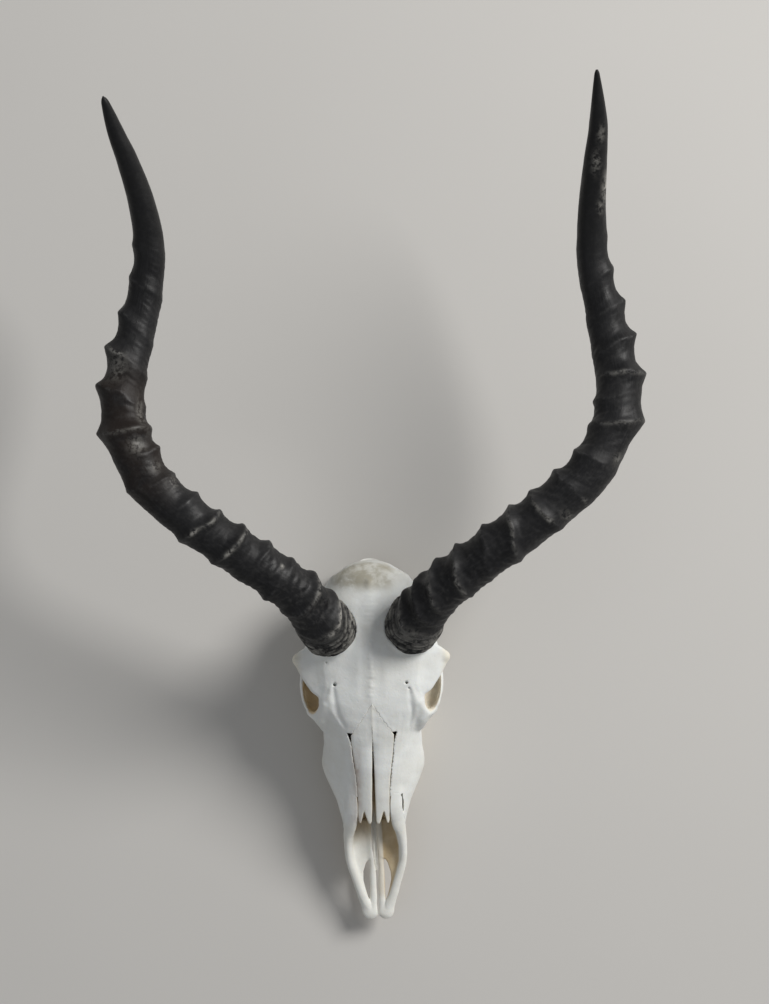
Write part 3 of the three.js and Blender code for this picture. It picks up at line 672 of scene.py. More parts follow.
def horn_rows(path):
    """Evenly spaced points along a horn and its direction there."""
    p = np.array(path, float)
    knots = [0.0]
    for a, b in zip(p[:-1], p[1:]):
        knots.append(knots[-1] + np.linalg.norm(b - a) ** 0.5)
    ends = np.vstack([2 * p[0] - p[1], p, 2 * p[-1] - p[-2]])
    t = np.concatenate([[2 * knots[0] - knots[1]], knots, [2 * knots[-1] - knots[-2]]])
    fine = []
    for i in range(1, len(ends) - 2):
        p0, p1, p2, p3 = ends[i - 1:i + 3]
        t0, t1, t2, t3 = t[i - 1:i + 3]
        for u in np.linspace(t1, t2, 40, endpoint=False):
            a1 = (t1 - u) / (t1 - t0) * p0 + (u - t0) / (t1 - t0) * p1
            a2 = (t2 - u) / (t2 - t1) * p1 + (u - t1) / (t2 - t1) * p2
            a3 = (t3 - u) / (t3 - t2) * p2 + (u - t2) / (t3 - t2) * p3
            b1 = (t2 - u) / (t2 - t0) * a1 + (u - t0) / (t2 - t0) * a2
            b2 = (t3 - u) / (t3 - t1) * a2 + (u - t1) / (t3 - t1) * a3
            fine.append((t2 - u) / (t2 - t1) * b1 + (u - t1) / (t2 - t1) * b2)
    fine = np.array([*fine, p[-1]])
    run = np.concatenate([[0], np.cumsum(np.linalg.norm(np.diff(fine, axis=0), axis=1))])
    at = np.linspace(0, run[-1], int(round(run[-1] / ROW_STEP)) + 1)
    centre = np.stack([np.interp(at, run, fine[:, k]) for k in range(3)], axis=1)
    tangent = np.gradient(centre, axis=0)
    for _ in range(10):
        tangent[1:-1] = (tangent[:-2] + 2 * tangent[1:-1] + tangent[2:]) / 4
    tangent /= np.linalg.norm(tangent, axis=1, keepdims=True)
    return at, centre, tangent


def around_wave(rng, a, s, tallest):
    """An uneven line around the horn, about +-1."""
    out = 0
    for k in range(1, tallest + 1):
        out = out + np.cos(k * a + rng.uniform(0, 6.28) + s * 0.01 * rng.uniform(-k, k)) / k**0.7
    return out / tallest**0.35


def wave_sum(rng, a, s, count, turns, rate):
    """A sum of random waves: each goes some number of turns round the horn, and rate(rng) radians a
    millimetre along it."""
    out = np.zeros_like(s)
    for _ in range(count):
        k = int(rng.integers(*turns))
        out += np.sin(k * a + rng.uniform(0, 6.28) + s * rate(rng)) / count**0.5
    return out


def turn_from(a, middle):
    """How far round the horn a is from middle, from -pi to pi."""
    return (a - middle + np.pi) % (2 * np.pi) - np.pi


def make_horn(name, spec, seed):
    at, centre, tangent = horn_rows(spec["path"])
    rng = np.random.default_rng(seed)
    outward_way = np.cross(tangent, [0, 0, 1])
    outward_way *= spec["side"] / np.linalg.norm(outward_way, axis=1, keepdims=True)
    front = np.cross(outward_way, tangent)
    front /= np.linalg.norm(front, axis=1, keepdims=True)
    front *= np.where(front[:, 2:3] < 0, -1, 1)
    s, a = np.meshgrid(at, np.linspace(0, 2 * np.pi, AROUND, endpoint=False), indexing="ij")
    radius = np.interp(at, [r[0] for r in spec["radius"]], [r[1] for r in spec["radius"]])
    for _ in range(8):
        radius[1:-6] = (radius[:-7] + 2 * radius[1:-6] + radius[2:-5]) / 4
    radius = np.repeat(radius[:, None], AROUND, axis=1)
    # Every ring is a cusp: it swells slowly from the base side and drops quickly on the tip side.
    back = 1 - 0.5 * (0.5 - 0.5 * np.sin(a)) ** 1.5
    front_side = np.maximum(np.sin(a), 0) ** 1.5
    crest, lift, under, worn = (np.zeros_like(s) for _ in range(4))
    rings = spec["rings"]
    places = []
    for inner, outer, _, _, sag, _ in rings:
        size = 0.7 + 0.9 * ramp01(np.float32(inner), 25, 70)
        places.append((inner + outer) / 2 + (outer - inner) / 2 * np.cos(a) - sag * front_side
                      + size * around_wave(rng, a, s, 7))
    for i, (inner, outer, high_in, high_out, _, share) in enumerate(rings):
        d = s - places[i]
        narrow = 2.6 - 1.9 * share
        face_out, face_in = (0.5 + 0.5 * np.cos(a)) ** narrow, (0.5 - 0.5 * np.cos(a)) ** narrow
        uneven = 1 + 0.16 * around_wave(rng, a, s, 9)
        height = (high_in * face_in + high_out * face_out) * back * uneven
        grow = ramp01(np.float32(inner), 120, 260)
        low_len, top_len = 5.0 + 2.6 * grow, 3.6 + 1.9 * grow
        away = np.sqrt(d * d + 0.8) - 0.5
        cusp = np.where(d < 0, np.exp(-(away / low_len) ** 1.25), np.exp(-(away / top_len) ** 1.4))
        lift += height * cusp
        # The horn is a little thinner just past each ring than just before the next.
        until = places[i + 1] if i + 1 < len(rings) else places[i] + 26
        u = np.clip(d / np.maximum(until - places[i], 4), 0, 1)
        dip = (1 - u) * (d > 0) * (1 - np.exp(-np.maximum(d, 0) / 2.5))
        lift -= height * (0.24 - 0.10 * ramp01(s, 60, 160)) * dip
        edge = np.clip(height / 3.2, 0, 1)
        # A line along each crest, drawn lighter: scuffs with a painted highlight.
        crest = np.maximum(crest, np.exp(-((d + 0.3) / 1.1) ** 2) * edge)
        # The band just past each crest, where dust is left off: painted shade under the drop.
        under = np.maximum(under, np.exp(-((d - 4.0) / 2.6) ** 2) * edge)
        for _, middle, wide, strength in (lip for lip in spec["lips"] if lip[0] == i):
            across = turn_from(a, middle) / wide
            worn = np.maximum(worn, strength * np.exp(-((d + 1.0) / 1.5) ** 2 - across**2))
    # Tight wrinkles on the collar at the base, and its rounded rim.
    tilted = s + rings[0][4] * front_side * np.clip(s / 28, 0, 1)
    collar = 1 - ramp01(tilted, 26, 34)
    w1, w2 = around_wave(rng, a, s, 6), around_wave(rng, a, s, 8)
    fold = 0.5 + 0.5 * np.sin((tilted + 2.5 * w1) * 2 * np.pi / 6.4)
    fine_fold = 0.5 + 0.5 * np.sin((tilted + 1.7 * w2) * 2 * np.pi / 3.1)
    ripples = 2.1 * fold**3 + 0.8 * fine_fold * (1 - fold) - 0.8
    rim = -2.2 * (1 - np.clip(s / 3.2, 0, 1)) ** 2
    faint = 0.22 * np.sin((s + 2.2 * w2) * 2 * np.pi / 6.3) * (1 - ramp01(s, 60, 200))
    # Long fine strands, slow unevenness and short bumps, all less on the smooth tip.
    strands = wave_sum(rng, a, s, 30, (18, 62), lambda draw: draw.uniform(-0.012, 0.012))
    slow = wave_sum(rng, a, s, 22, (0, 7), lambda draw: 2 * np.pi / draw.uniform(12, 70))
    bits = wave_sum(rng, a, s, 26, (3, 16), lambda draw: 2 * np.pi / draw.uniform(3.5, 9))
    tip = ramp01(s, 340, 410)
    lift = lift + collar * ripples + faint + rim
    rough = 0.02 * strands + (0.34 - 0.22 * tip) * slow + 0.12 * (1 - 0.8 * tip) * bits
    r = np.maximum(radius + lift + (radius / 20) * rough, 0.12)
    points = (centre[:, None, :] + outward_way[:, None, :] * (r * np.cos(a))[:, :, None]
              + front[:, None, :] * (r * np.sin(a))[:, :, None])
    rows, cols = s.shape
    points = np.vstack([points.reshape(-1, 3), centre[:1], centre[-1:] + tangent[-1:] * 0.2])
    i, j = np.meshgrid(np.arange(rows - 1), np.arange(cols), indexing="ij")
    k = (j + 1) % cols
    quads = np.stack([i * cols + j, i * cols + k, (i + 1) * cols + k, (i + 1) * cols + j], axis=-1)
    faces = [tuple(q) for q in quads.reshape(-1, 4).tolist()]
    base, top, last = rows * cols, rows * cols + 1, (rows - 1) * cols
    for j in range(cols):
        k = (j + 1) % cols
        faces += [(base, k, j), (top, last + j, last + k)]
    ob = mesh_object(name + "_sheath", points, outward(points, faces))
    for place, middle, long, wide, strength in spec["worn"]:
        across = turn_from(a, middle) / wide
        worn = np.maximum(worn, strength * np.exp(-((s - place) / long) ** 2 - across**2))
    lower = 1 - ramp01(s, 230, 380)
    start, stop = spec["brown"]
    shares = {
        "crest": crest,
        # Dust, more toward the base and left off past each ring as painted shade.
        "dust_and_ledge_shade": (0.30 + 0.55 * (1 - ramp01(s, 20, 110))) * (0.35 + 0.65 * lower) * (1 - under),
        # Grey at the base, strongest on the crests of the folds: dust with painted highlights.
        "collar_dust_and_highlight": (1 - ramp01(tilted, 22, 38)) * (0.15 + 0.85 * fold**3),
        "worn": worn,
        "brown": ramp01(s, start - 25, start + 25) * (1 - ramp01(s, stop - 12, stop + 25)),
        "smooth_tip": tip,
        # Where the grain's noise is read: round the horn, and slowly along it.
        "grain_x": 0.018 * np.cos(a),
        "grain_y": 0.018 * np.sin(a),
        "grain_z": s * MM * 0.09,
    }
    for key, v in shares.items():
        set_attribute(ob, key, np.concatenate([v.ravel(), [v[0].mean(), v[-1].mean()]]))
    finish_piece(ob, [name], HORN)


for seed, (name, spec) in enumerate(HORNS.items(), 11):
    make_horn(name, spec, seed)

# ---------------------------------------- skull
# Half outlines [x, z] from the midline of the roof round to the midline of the palate or skull base.
HEAD = [
    (-159, [(0, 49.5), (5, 49.3), (11.5, 48), (17, 44.5), (22, 39), (24.2, 33), (23.6, 27), (20.5, 22.5),
            (14, 20.5), (7, 20.5), (0, 21)]),
    (-141, [(0, 57.5), (6, 57.3), (12.5, 55.3), (19, 51), (25, 44), (28.3, 36), (28, 27), (25, 17),
            (19, 15.3), (14, 20.5), (0, 22.5)]),
    (-125, [(0, 64), (6.5, 63.6), (13.3, 61), (21, 55.5), (29, 47), (34.8, 36.5), (35.2, 27), (31, 15.5),
            (21, 15.3), (16, 22), (0, 24.5)]),
    (-110, [(0, 70.5), (7.5, 70), (15, 67.3), (22, 61.5), (31, 51), (39.5, 38.5), (41, 30), (35, 15.5),
            (22, 15.3), (17.5, 23), (0, 26)]),
    (-93, [(0, 77), (8.5, 76.5), (17.3, 73.5), (24.5, 68), (32, 58), (37.8, 46), (38.8, 36), (36.5, 15.5),
           (23.5, 15.3), (19, 24), (0, 27)]),
    (-80, [(0, 82.5), (9, 82), (19, 79.5), (27, 74), (33.5, 65), (38, 54), (38.5, 42), (37, 15.5),
           (24.5, 15.3), (20, 25), (0, 28)]),
    (-68, [(0, 87.5), (10, 87), (22, 85), (31, 81), (37, 75), (39, 65), (38, 50), (36, 16),
           (25, 15.5), (20, 26), (0, 29)]),
    (-57, [(0, 91.5), (10, 91), (24, 89), (33, 86), (37, 80), (36, 68), (32, 55), (28, 34),
           (22, 29), (13, 33), (0, 36)]),
    (-44, [(0, 95), (10, 94.6), (25, 92.5), (35, 88.5), (36, 82), (33, 72), (27, 58), (20, 46),
           (14, 41), (8, 39.5), (0, 39)]),
    (-20, [(0, 99.5), (12, 99), (27, 96.5), (38, 91), (39, 83), (35, 72), (29, 58), (20, 44),
           (13, 39), (7, 37), (0, 36.5)]),
    (2, [(0, 99), (13, 98.5), (27, 96), (38, 90), (41, 82), (38, 70), (32, 54), (22, 41),
          (14, 36), (7, 34), (0, 33)]),
    (22, [(0, 91.5), (11, 90.5), (20, 87.5), (28, 81.5), (33.5, 74), (34.5, 62), (30, 48), (22, 38),
          (14, 33), (7, 31), (0, 30)]),
    (38, [(0, 78), (9, 77.5), (17, 75), (23, 71), (27, 65), (28, 57), (25, 46), (20, 39),
          (13, 35), (6, 33), (0, 33)]),
]
BROW_OUTLINE = [
    (14, -66), (32, -62), (40, -58), (41, -53), (47, -48.3), (53.7, -38.5), (58.3, -30), (60.9, -24),
    (59.5, -20), (55.5, -16.5), (50.5, -13.5), (44, -8), (36, 0), (14, 2),
]
CHEEK_ARCH = [
    (35.5, -76.5, 57, 3, 9), (43, -70.3, 60, 2.0, 8), (49.3, -65, 60, 1.8, 7), (52.7, -58, 58.5, 1.6, 6.5),
    (54.5, -49, 57, 1.6, 6), (54.2, -36, 54.5, 1.9, 6.3), (51.5, -20, 52.3, 2.2, 5.5), (46, -4, 51, 2.4, 5),
    (40, 8, 50, 3.5, 5), (32, 15, 48, 5, 6),
]
EYE_BAR = [
    (57.6, -23.5, 80, 3.2), (57.5, -25.5, 73, 2.4), (56, -28, 65, 2.3), (54, -30, 55, 2.8),
]
EYE_FRONT_RIM = [
    (36.5, -58, 83, 2.4), (40.2, -64.3, 77, 2.0), (44.5, -67.8, 70, 1.8), (48.5, -66, 62, 1.8),
]
ROOF_LINE = ([-160, -141, -125, -110, -93, -80, -68, -57, -44, -20, 2, 22],
             [49.5, 57.5, 64, 70.5, 77, 82.5, 87.5, 91.5, 95, 99.5, 99, 91.5])
# Nasal passage, as HEAD.
PASSAGE = [
    (-176, [(0, 60), (10, 58), (20, 48), (22, 36), (19, 26), (8, 24.2), (0, 24)]),
    (-159, [(0, 54), (9, 52), (18, 43), (21.3, 34), (18, 25), (8, 23.6), (0, 23.6)]),
    (-141, [(0, 54), (9, 52.5), (18, 46), (22, 36), (18, 26.5), (8, 25.3), (0, 25.3)]),
    (-120, [(0, 61), (9, 59.5), (17, 52), (20, 42), (16, 31), (8, 28.3), (0, 28)]),
    (-98, [(0, 68), (8, 66), (14, 58), (15, 48), (12, 38), (6, 33), (0, 32)]),
    (-80, [(0, 70), (6, 68), (10, 62), (11, 54), (8, 44), (4, 38), (0, 37)]),
]
# Grooves over the eyes: x, y, z, half width, and the depth. Holes: x, y, z, radius, and the blend.
EYE_GROOVES = [
    ([(-29.3, -45, 92, 1.0), (-28.6, -54, 91, 1.8), (-26.5, -66, 87, 1.8), (-21, -77, 82, 1.2)], 0.75),
    ([(28.8, -46, 92, 1.0), (30.2, -56, 90.5, 1.7), (30.6, -68, 85, 1.4), (28.5, -77, 79, 1.0)], 0.7),
]
EYE_HOLES = [
    ([(-28.4, -41.6, 98, 1.5), (-28.6, -43.5, 86, 1.2)], 0.5),
    ([(26.7, -41.2, 98, 1.25), (27.4, -43.5, 86, 1.1)], 0.5),
    ([(28.6, -45.8, 97, 0.7), (29, -47, 88, 0.7)], 0.5),
    ([(-34.8, -24.8, 100, 1.15), (-34.4, -26, 84, 0.8)], 0.3),
]


def brow_half(x, y):
    return np.clip(5.5 - 0.105 * np.maximum(x - 20, 0), 1.5, 5.5)


def brow_middle(x, y):
    sink = 3.5 * (1 - ramp01(x, 18, 38)) + 2.5 * (1 - ramp01(y, -66, -52)) * (x < 60)
    return roof(y) - 0.0050 * x * x - 0.3 - brow_half(x, y) - sink


def on_side(shape, side):
    """A shape drawn for x above 0, on the side of the head that side names."""
    (lo, hi), f = shape
    if side < 0:
        lo, hi = (-hi[0], lo[1], lo[2]), (-lo[0], hi[1], hi[2])
    return (lo, hi), lambda x, y, z: f(side * x, y, z)


def skull_half(step):
    f = Field((0, -163, -1), (64, 58, 118), step)
    f.add(loft(HEAD), 0.01)
    f.add(ellipsoid((0, 14, 58), (37, 38.5, 35)), 8)
    # Flattened back of the head with its crest.
    f.add(rod([(0, 45, 74, 3.4), (9, 44.2, 74, 3.4), (17, 41.3, 72.5, 3.2), (27, 35, 67, 3), (34, 25, 56, 3),
               (35, 16, 46, 3)]), 7)
    f.add(ellipsoid((0, 37, 40), (22, 11, 17)), 6)
    # Base of the skull, with the ear bones, the processes it rests on and the condyles.
    f.add(rod([(0, -62, 37, 4.5), (0, -30, 35, 6), (0, 0, 31, 8.5), (0, 28, 29, 10), (0, 42, 31, 12)], 10), 5)
    f.add(ellipsoid((20, 10, 27), (8, 11.5, 11)), 3)
    f.add(rod([(33, 14, 42, 5), (30, 8, 38, 5)], 3), 4)
    f.add(strap([(25, 28, 44, 9, 6), (26.5, 33, 28, 5.5, 3.4), (26, 37.5, 13, 3.8, 2.6),
                 (24, 40.6, 2.6, 2.4, 2)], LENGTHWISE, 10), 3)
    f.add(ellipsoid((12.5, 40.5, 27), (8, 8.5, 11.5)), 3)
    # Jaw joint shelf in front of the ear, and the wings behind the palate.
    f.add(ellipsoid((34, 4, 46), (9, 7, 3.5)), 4)
    f.add(strap([(12, -64, 31, 1.4, 7), (10.5, -50, 30, 1.2, 8), (10, -36, 33, 1.2, 7),
                 (10, -24, 36, 1.5, 4)], UPWARD, 8), 3)
    # Brow shelf, eye rims and cheek arch.
    f.add(ellipsoid((39, -54, 58), (13, 21, 17)), 5)
    f.cut(ellipsoid((54.5, -47, 68), (23.5, 20.5, 21)), 2)
    f.add(plate(BROW_OUTLINE, brow_middle, brow_half, 2.2, 90), 6)
    f.cut(ellipsoid((52, -46.5, 62.5), (21.5, 20, 15.5)), 3)
    f.add(ellipsoid((42, -49, 44.5), (13.5, 19, 8.5)), 4)
    f.add(strap(CHEEK_ARCH, UPWARD, 24), 3)
    f.add(rod(EYE_BAR, 8), 3)
    f.add(rod(EYE_FRONT_RIM, 8), 3)
    f.add(rod([(33, -54, 82, 3.5), (36, -64, 75, 4.5), (38, -71, 67, 5), (37, -77, 58, 4)], 8), 5)
    # Hollows at the side of the braincase, behind the eye.
    f.cut(ellipsoid((50, 0, 66), (13, 19, 14)), 5)
    f.cut(ellipsoid((40, -30, 36), (17, 18, 17)), 6)
    return f


def forehead_ridge(x, y, z):
    """The midline ridge of the forehead with a shallow furrow on each side."""
    along = ramp01(y, -64, -46) * (1 - ramp01(y, 8, 40)) * ramp01(z, 70, 82)
    off = x + 0.4 + 0.5 * np.sin(y * 0.23) + 0.35 * np.sin(y * 0.61 + 1)
    wide = 2.0 + 0.5 * np.sin(y * 0.11) + 0.35 * np.sin(y * 0.47) + 1.6 * ramp01(y, -22, 6)
    tall = 0.6 + 0.16 * np.sin(y * 0.83) + 0.14 * np.sin(y * 1.7 + 2)
    furrows = 0.22 * np.exp(-((np.abs(off) - 6.3 - 2.2 * ramp01(y, -22, 6)) / 2.9) ** 2)
    return along * (furrows - tall * np.exp(-(off / wide) ** 2))


def forehead_hollows(x, y, z):
    """Broad shallow hollows of the forehead in front of the horns."""
    return 0.7 * np.exp(-((np.abs(x) - 18) / 9) ** 2 - ((y + 36) / 18) ** 2) * ramp01(z, 75, 85)


def nasal_joint(x, y, z):
    """The joint behind the nasal bones stands up a little, in a zigzag."""
    away = nearest_nasal(x[:, :, 0], y[:, :, 0])[:, :, None]
    return -0.18 * np.exp(-((away - 0.4) / 1.3) ** 2) * ramp01(y, -84, -78) * ramp01(z, 70, 76)


def eye_groove(rows, depth):
    """A groove that runs forward from the hole over an eye, with a low lip on its outer side."""
    line = catmull(rows, 24)
    rear, front = line[0, 1], line[-1, 1]

    def f(x, y, z):
        cx = np.interp(y, line[::-1, 1], line[::-1, 0]).astype(np.float32)
        w = np.interp(y, line[::-1, 1], line[::-1, 3]).astype(np.float32)
        ends = ramp01(y, front - 3, front + 3) * (1 - ramp01(y, rear - 2, rear + 2))
        trough = np.exp(-((x - cx) / (w * 1.15)) ** 2) * depth
        lip = np.exp(-((x - cx - np.sign(cx) * w * 2.3) / (w * 1.3)) ** 2) * depth * 0.55
        return (trough - lip) * ends * ramp01(z, 66, 74)

    low, high = line[:, 0].min() - 8, line[:, 0].max() + 8
    return ((low, front - 5, 66), (high, rear + 5, 110)), f


def horn_seat(c, t):
    """The flat-topped stump under a horn that starts at c and points along t, and the space above it."""

    def measure(x, y, z):
        h = (x - c[0]) * t[0] + (y - c[1]) * t[1] + (z - c[2]) * t[2]
        square = (x - c[0]) ** 2 + (y - c[1]) ** 2 + (z - c[2]) ** 2
        return h, np.sqrt(np.maximum(square - h * h, 0))

    def stump(x, y, z):
        h, away = measure(x, y, z)
        return np.maximum(h, away - 20.4 + np.maximum(-h - 18, 0))

    def above(x, y, z):
        h, away = measure(x, y, z)
        return np.maximum(0.3 - h, away - 21.2)

    box = (c - 46, c + 46)
    return (box, stump), (box, above)


def make_skull():
    half = skull_half(0.72)
    # Open nasal passage and the way through behind the palate.
    half.cut(loft(PASSAGE, 4.0, 20, 4.0), 1.0)
    half.cut(strap([(0, -42, 24, 8, 7), (0, -62, 33, 8, 6), (0, -84, 42, 7, 6)], UPWARD, 8), 2)
    # Hollow of the brain and the hole for the spinal cord.
    half.cut(ellipsoid((0, 12, 62), (29, 30, 26)), 1)
    half.cut(rod([(0, 66, 34, 8.5), (0, 46, 37, 8.2), (0, 26, 48, 8)], 6), 1.5)
    # Small holes: in front of the eye socket low on the cheek, and in the base.
    half.cut(rod([(35, -131, 27.5, 2.2), (28, -125, 30, 2.4), (20, -118, 34, 2.0)], 5), 1)
    half.cut(rod([(36, 16, 38, 2.6), (27, 12, 36, 2.2)], 3), 1)
    half.cut(rod([(14, -2, 32, 2.2), (13, -4, 44, 2)], 3), 1)
    half.cut(rod([(12, 34, 24, 1.8), (12, 34, 34, 1.6)], 3), 1)
    f = half.full()
    f.dent(((-16, -64, 68), (16, 42, 118)), 2, forehead_ridge)
    f.dent(((-42, -76, 74), (42, 6, 118)), 2, forehead_hollows)
    for rows, depth in EYE_GROOVES:
        box, groove = eye_groove(rows, depth)
        f.dent(box, 0, groove)
    for rows, blend in EYE_HOLES:
        f.cut(rod(rows, 3), blend)
    # Little bump on the top of the braincase.
    f.add(ellipsoid((-0.5, 32, 86), (2.4, 5, 3)), 3)
    # Seats for the horns: a stump under each, with a flat face square to the horn and a little clear of it.
    feet = []
    for spec in HORNS.values():
        _, centre, tangent = horn_rows(spec["path"])
        feet.append((centre[0], tangent[0]))
    for c, t in feet:
        f.add(rod([(*(c - t * 20), 21.0), (*(c - t * 16), 20.6)], 3), 7)
    for c, t in feet:
        stump, above = horn_seat(c, t)
        f.add(stump, 3)
        f.cut(above, 0.6)
    f.dent(((-20, -84, 70), (20, -54, 100)), 1, nasal_joint)
    # Slight unevenness of grown bone.
    f.v += waves(5, 10, 11, 30, 0.16)(*f.grid())
    return f


# Nasal bones: half plan outline from the rear point round the outer edge to the notched front.
NASAL_OUTLINE = [
    (-0.1, -58.5), (1.6, -60.5), (3.0, -62), (3.6, -64.6), (5.6, -65.6), (6.0, -68.3), (8.0, -69.8),
    (8.6, -72.4), (11.0, -74.2), (12.0, -77), (14.6, -79), (15.4, -81.6), (16.8, -83.6), (16.6, -90),
    (15.8, -97), (15.0, -104), (14.2, -110), (13.3, -118), (12.8, -126), (12.4, -136), (12.5, -146),
    (12.3, -153), (11.4, -155.6), (10.3, -155), (9.4, -151.5), (8.4, -146.5), (7.6, -145), (6.6, -148),
    (5.4, -152.5), (4.2, -155.6), (2.6, -156), (1.5, -154), (1.15, -146), (0.95, -130), (0.65, -118),
    (0.3, -108), (0.05, -99), (-0.1, -92), (-0.35, -86), (-0.35, -66),
]
# Width of the open crack along the outer edge of each nasal bone: y, millimetres. Below 0 the bones are grown
# together.
CRACK_LEFT = ([-156, -150, -135, -113, -109, -97, -93, -87, -83],
              [0.7, 0.35, 0.05, 0.05, 0.4, 0.45, 0.1, 0.3, -0.5])
CRACK_RIGHT = ([-156, -142, -129, -122, -119, -113, -110, -106, -99, -95, -90, -86, -83],
               [0.95, 0.5, 0.0, 0.3, 0.6, 0.55, 0.15, 0.5, 0.55, 0.05, 0.15, 0.4, -0.5])
NASAL_THICK = 2.7
CROWN_Y = -70  # behind this the middle edges of the nasal bones are grown together
SEAM_REACH = 3.0  # millimetres from a joint at which the seam mark reaches 1


def roof(y):
    return np.interp(y, *ROOF_LINE).astype(np.float32)


def nasal_distance(side, x, y):
    o = np.array([(side * px, py) for px, py in NASAL_OUTLINE], np.float32)
    return outline_distance(o[:, 0], o[:, 1], x, y)


def nearest_nasal(x, y):
    return np.minimum(nasal_distance(-1, x, y), nasal_distance(1, x, y))


def roof_fall(x, y):
    """Height of the rounded roof of the snout."""
    fall = np.interp(y, [-160, -141, -110, -84, -57], [0.0142, 0.0141, 0.0142, 0.0085, 0.0043])
    return roof(y) - fall.astype(np.float32) * x * x


def nasal_seat(side):
    def f(x, y, z):
        flat = nasal_distance(side, x[:, :, 0], y[:, :, 0])[:, :, None]
        jag = 0.22 * np.sin(y * 1.9 + side) + 0.16 * np.sin(y * 3.7 + 0.5)
        outer = ramp01(side * x, 3.5, 6.5)
        crack = np.interp(y, *(CRACK_LEFT if side < 0 else CRACK_RIGHT)).astype(np.float32)
        crack = (crack + (jag if side > 0 else 0.4 * jag) * (crack > 0.02)) * outer
        middle = (1 - outer) * np.where(y < CROWN_Y, 0.5, -0.5).astype(np.float32)
        return smooth_max(flat - (crack + middle), (roof_fall(x, y) - NASAL_THICK - 0.3) - z, 0.2)

    xs = [side * px for px, _ in NASAL_OUTLINE]
    return ((min(xs) - 2, -158, 38), (max(xs) + 2, -56.5, 100)), f


def make_nasals(skull):
    for side, name in ((-1, "nasal_left"), (1, "nasal_right")):
        low, high = (-22, 2) if side < 0 else (-4, 20)
        f = Field((low, -159, 40), (high, -55, 96), 0.42)
        x, y, z = f.grid()
        shared = skull.sample(x, y, z)
        behind = ramp01(y, -94, -84)
        # Past the front end of the skull's roof the bone goes on as a thin plate.
        free = z - roof_fall(x, y) + 0.15
        top = smooth_max(shared, free, 0.8) * (1 - behind) + shared * behind
        on = ramp01(y, -136, -126)
        top = top * on + free * (1 - on)
        flat = nasal_distance(side, x[:, :, 0], y[:, :, 0])[:, :, None]
        under = roof_fall(x, y) - NASAL_THICK - z
        joined = smooth_max(top, flat, 0.9) * (1 - behind) + smooth_max(top, flat, 0.25) * behind
        f.v = smooth_max(joined, under, 0.6).astype(np.float32)
        # Each bone is a little crowned along its middle, and the joint line between them sinks.
        off = np.abs(x) + 0 * y
        f.v += (0.45 - 0.75 * behind) * np.exp(-(off / 2.2) ** 2)
        f.v -= 0.25 * (1 - behind) * np.exp(-((off - 6.5) / 4.0) ** 2)
        f.v += waves(20 + side, 8, 8, 22, 0.10)(x, y, z)
        ob = field_object(name + "_bone", f, 30000)
        p, n = head_points(ob), vertex_normals(ob)
        out, y = np.abs(p[:, 0]), p[:, 1]
        edge = nasal_distance(side, p[:, 0], y)
        band = ramp01(out, 7, 13) * ramp01(-y, 88, 104)
        rear_line = ramp01(y, -84, -80) * ramp01(out, 0.8, 2.5)
        middle_line = (1 - ramp01(out, 1.5, 3.5)) * ramp01(-y, 66, 84) * ramp01(y, -112, -104)
        mark(ob, warm=0.35 * np.exp(-edge**2) + 0.3 * (1 - ramp01(y, -158, -146)),
             pink=band * (0.85 if side < 0 else 0.08),
             tan=0.8 * np.clip(1 - 2.2 * np.clip(n[:, 2], 0, 1), 0, 1),
             seam=np.abs(edge) / SEAM_REACH,
             seam_dark=(0.12 if side < 0 else 0.04) * rear_line + 0.80 * middle_line)
        finish_piece(ob, [name], BONE)


# Premaxillae. Branch and bar: x, y, z, half width, half height. Shelf: plan outline.
BRANCH = [
    (17.2, -124, 54.0, 1.4, 1.4), (17.2, -136, 52.4, 4.2, 2.2), (17.6, -146, 49.4, 5.2, 2.6),
    (18.9, -156, 43.2, 5.5, 2.8), (20.9, -166, 35.6, 4.2, 3.7), (21.6, -176, 31, 3.4, 3.8),
    (20.9, -188, 27.5, 3.2, 3.3), (16.6, -203, 24.2, 3.4, 3.0), (12.2, -217, 21.6, 3.6, 2.7),
    (9.2, -226.0, 20, 4.0, 2.4), (6.9, -231.5, 19.3, 3.6, 2.0),
]
BAR = [
    (3.4, -140, 29.5, 1.4, 1.8), (3.4, -156, 27.3, 2.2, 2.2), (3.3, -172, 24.9, 2.3, 2.2),
    (3.3, -190, 22.6, 2.5, 2.1), (3.3, -206, 20.8, 2.6, 2.0), (3.4, -218, 20.2, 2.7, 2.0),
    (4.0, -231, 19.2, 3.0, 2.0),
]
SHELF_OUTLINE = [
    (3.5, -150), (3.8, -184), (6.6, -186.4), (8.8, -190.5), (10.8, -197), (11.2, -204), (9.4, -212.5),
    (6.8, -222.5), (8, -226), (14, -214), (19, -200), (22, -185), (22.5, -168), (20, -150),
]
# Plan outline of the rear end of a branch, a splint between the nasal bone and the cheek bone.
SPLINT = np.array([(13.5, -162), (13.0, -150), (12.8, -140), (13.2, -134), (16, -131.5), (20, -132),
                   (21.9, -135.5), (22.0, -144), (24.3, -153), (25.5, -162)], np.float32)
CHEEK_SLITS = [
    [(22.0, -132.5, 52, 0.4, 7), (22.2, -141, 47, 1.1, 7), (22.2, -149.5, 42, 0.6, 7)],
    [(-24.3, -136, 49, 0.3, 1.6), (-24.6, -144, 44.5, 0.45, 1.6), (-25, -153, 39, 0.3, 1.6)],
]
# Rows: y, half width, bottom, top.
VOMER = [(-90, 1.9, 36, 46), (-120, 1.9, 31, 39), (-140, 1.8, 27.3, 32), (-150, 1.6, 25.4, 28.8),
         (-165, 1.5, 23.6, 26.0), (-180, 1.3, 22.2, 24.4), (-198, 0.75, 20.8, 22.4)]
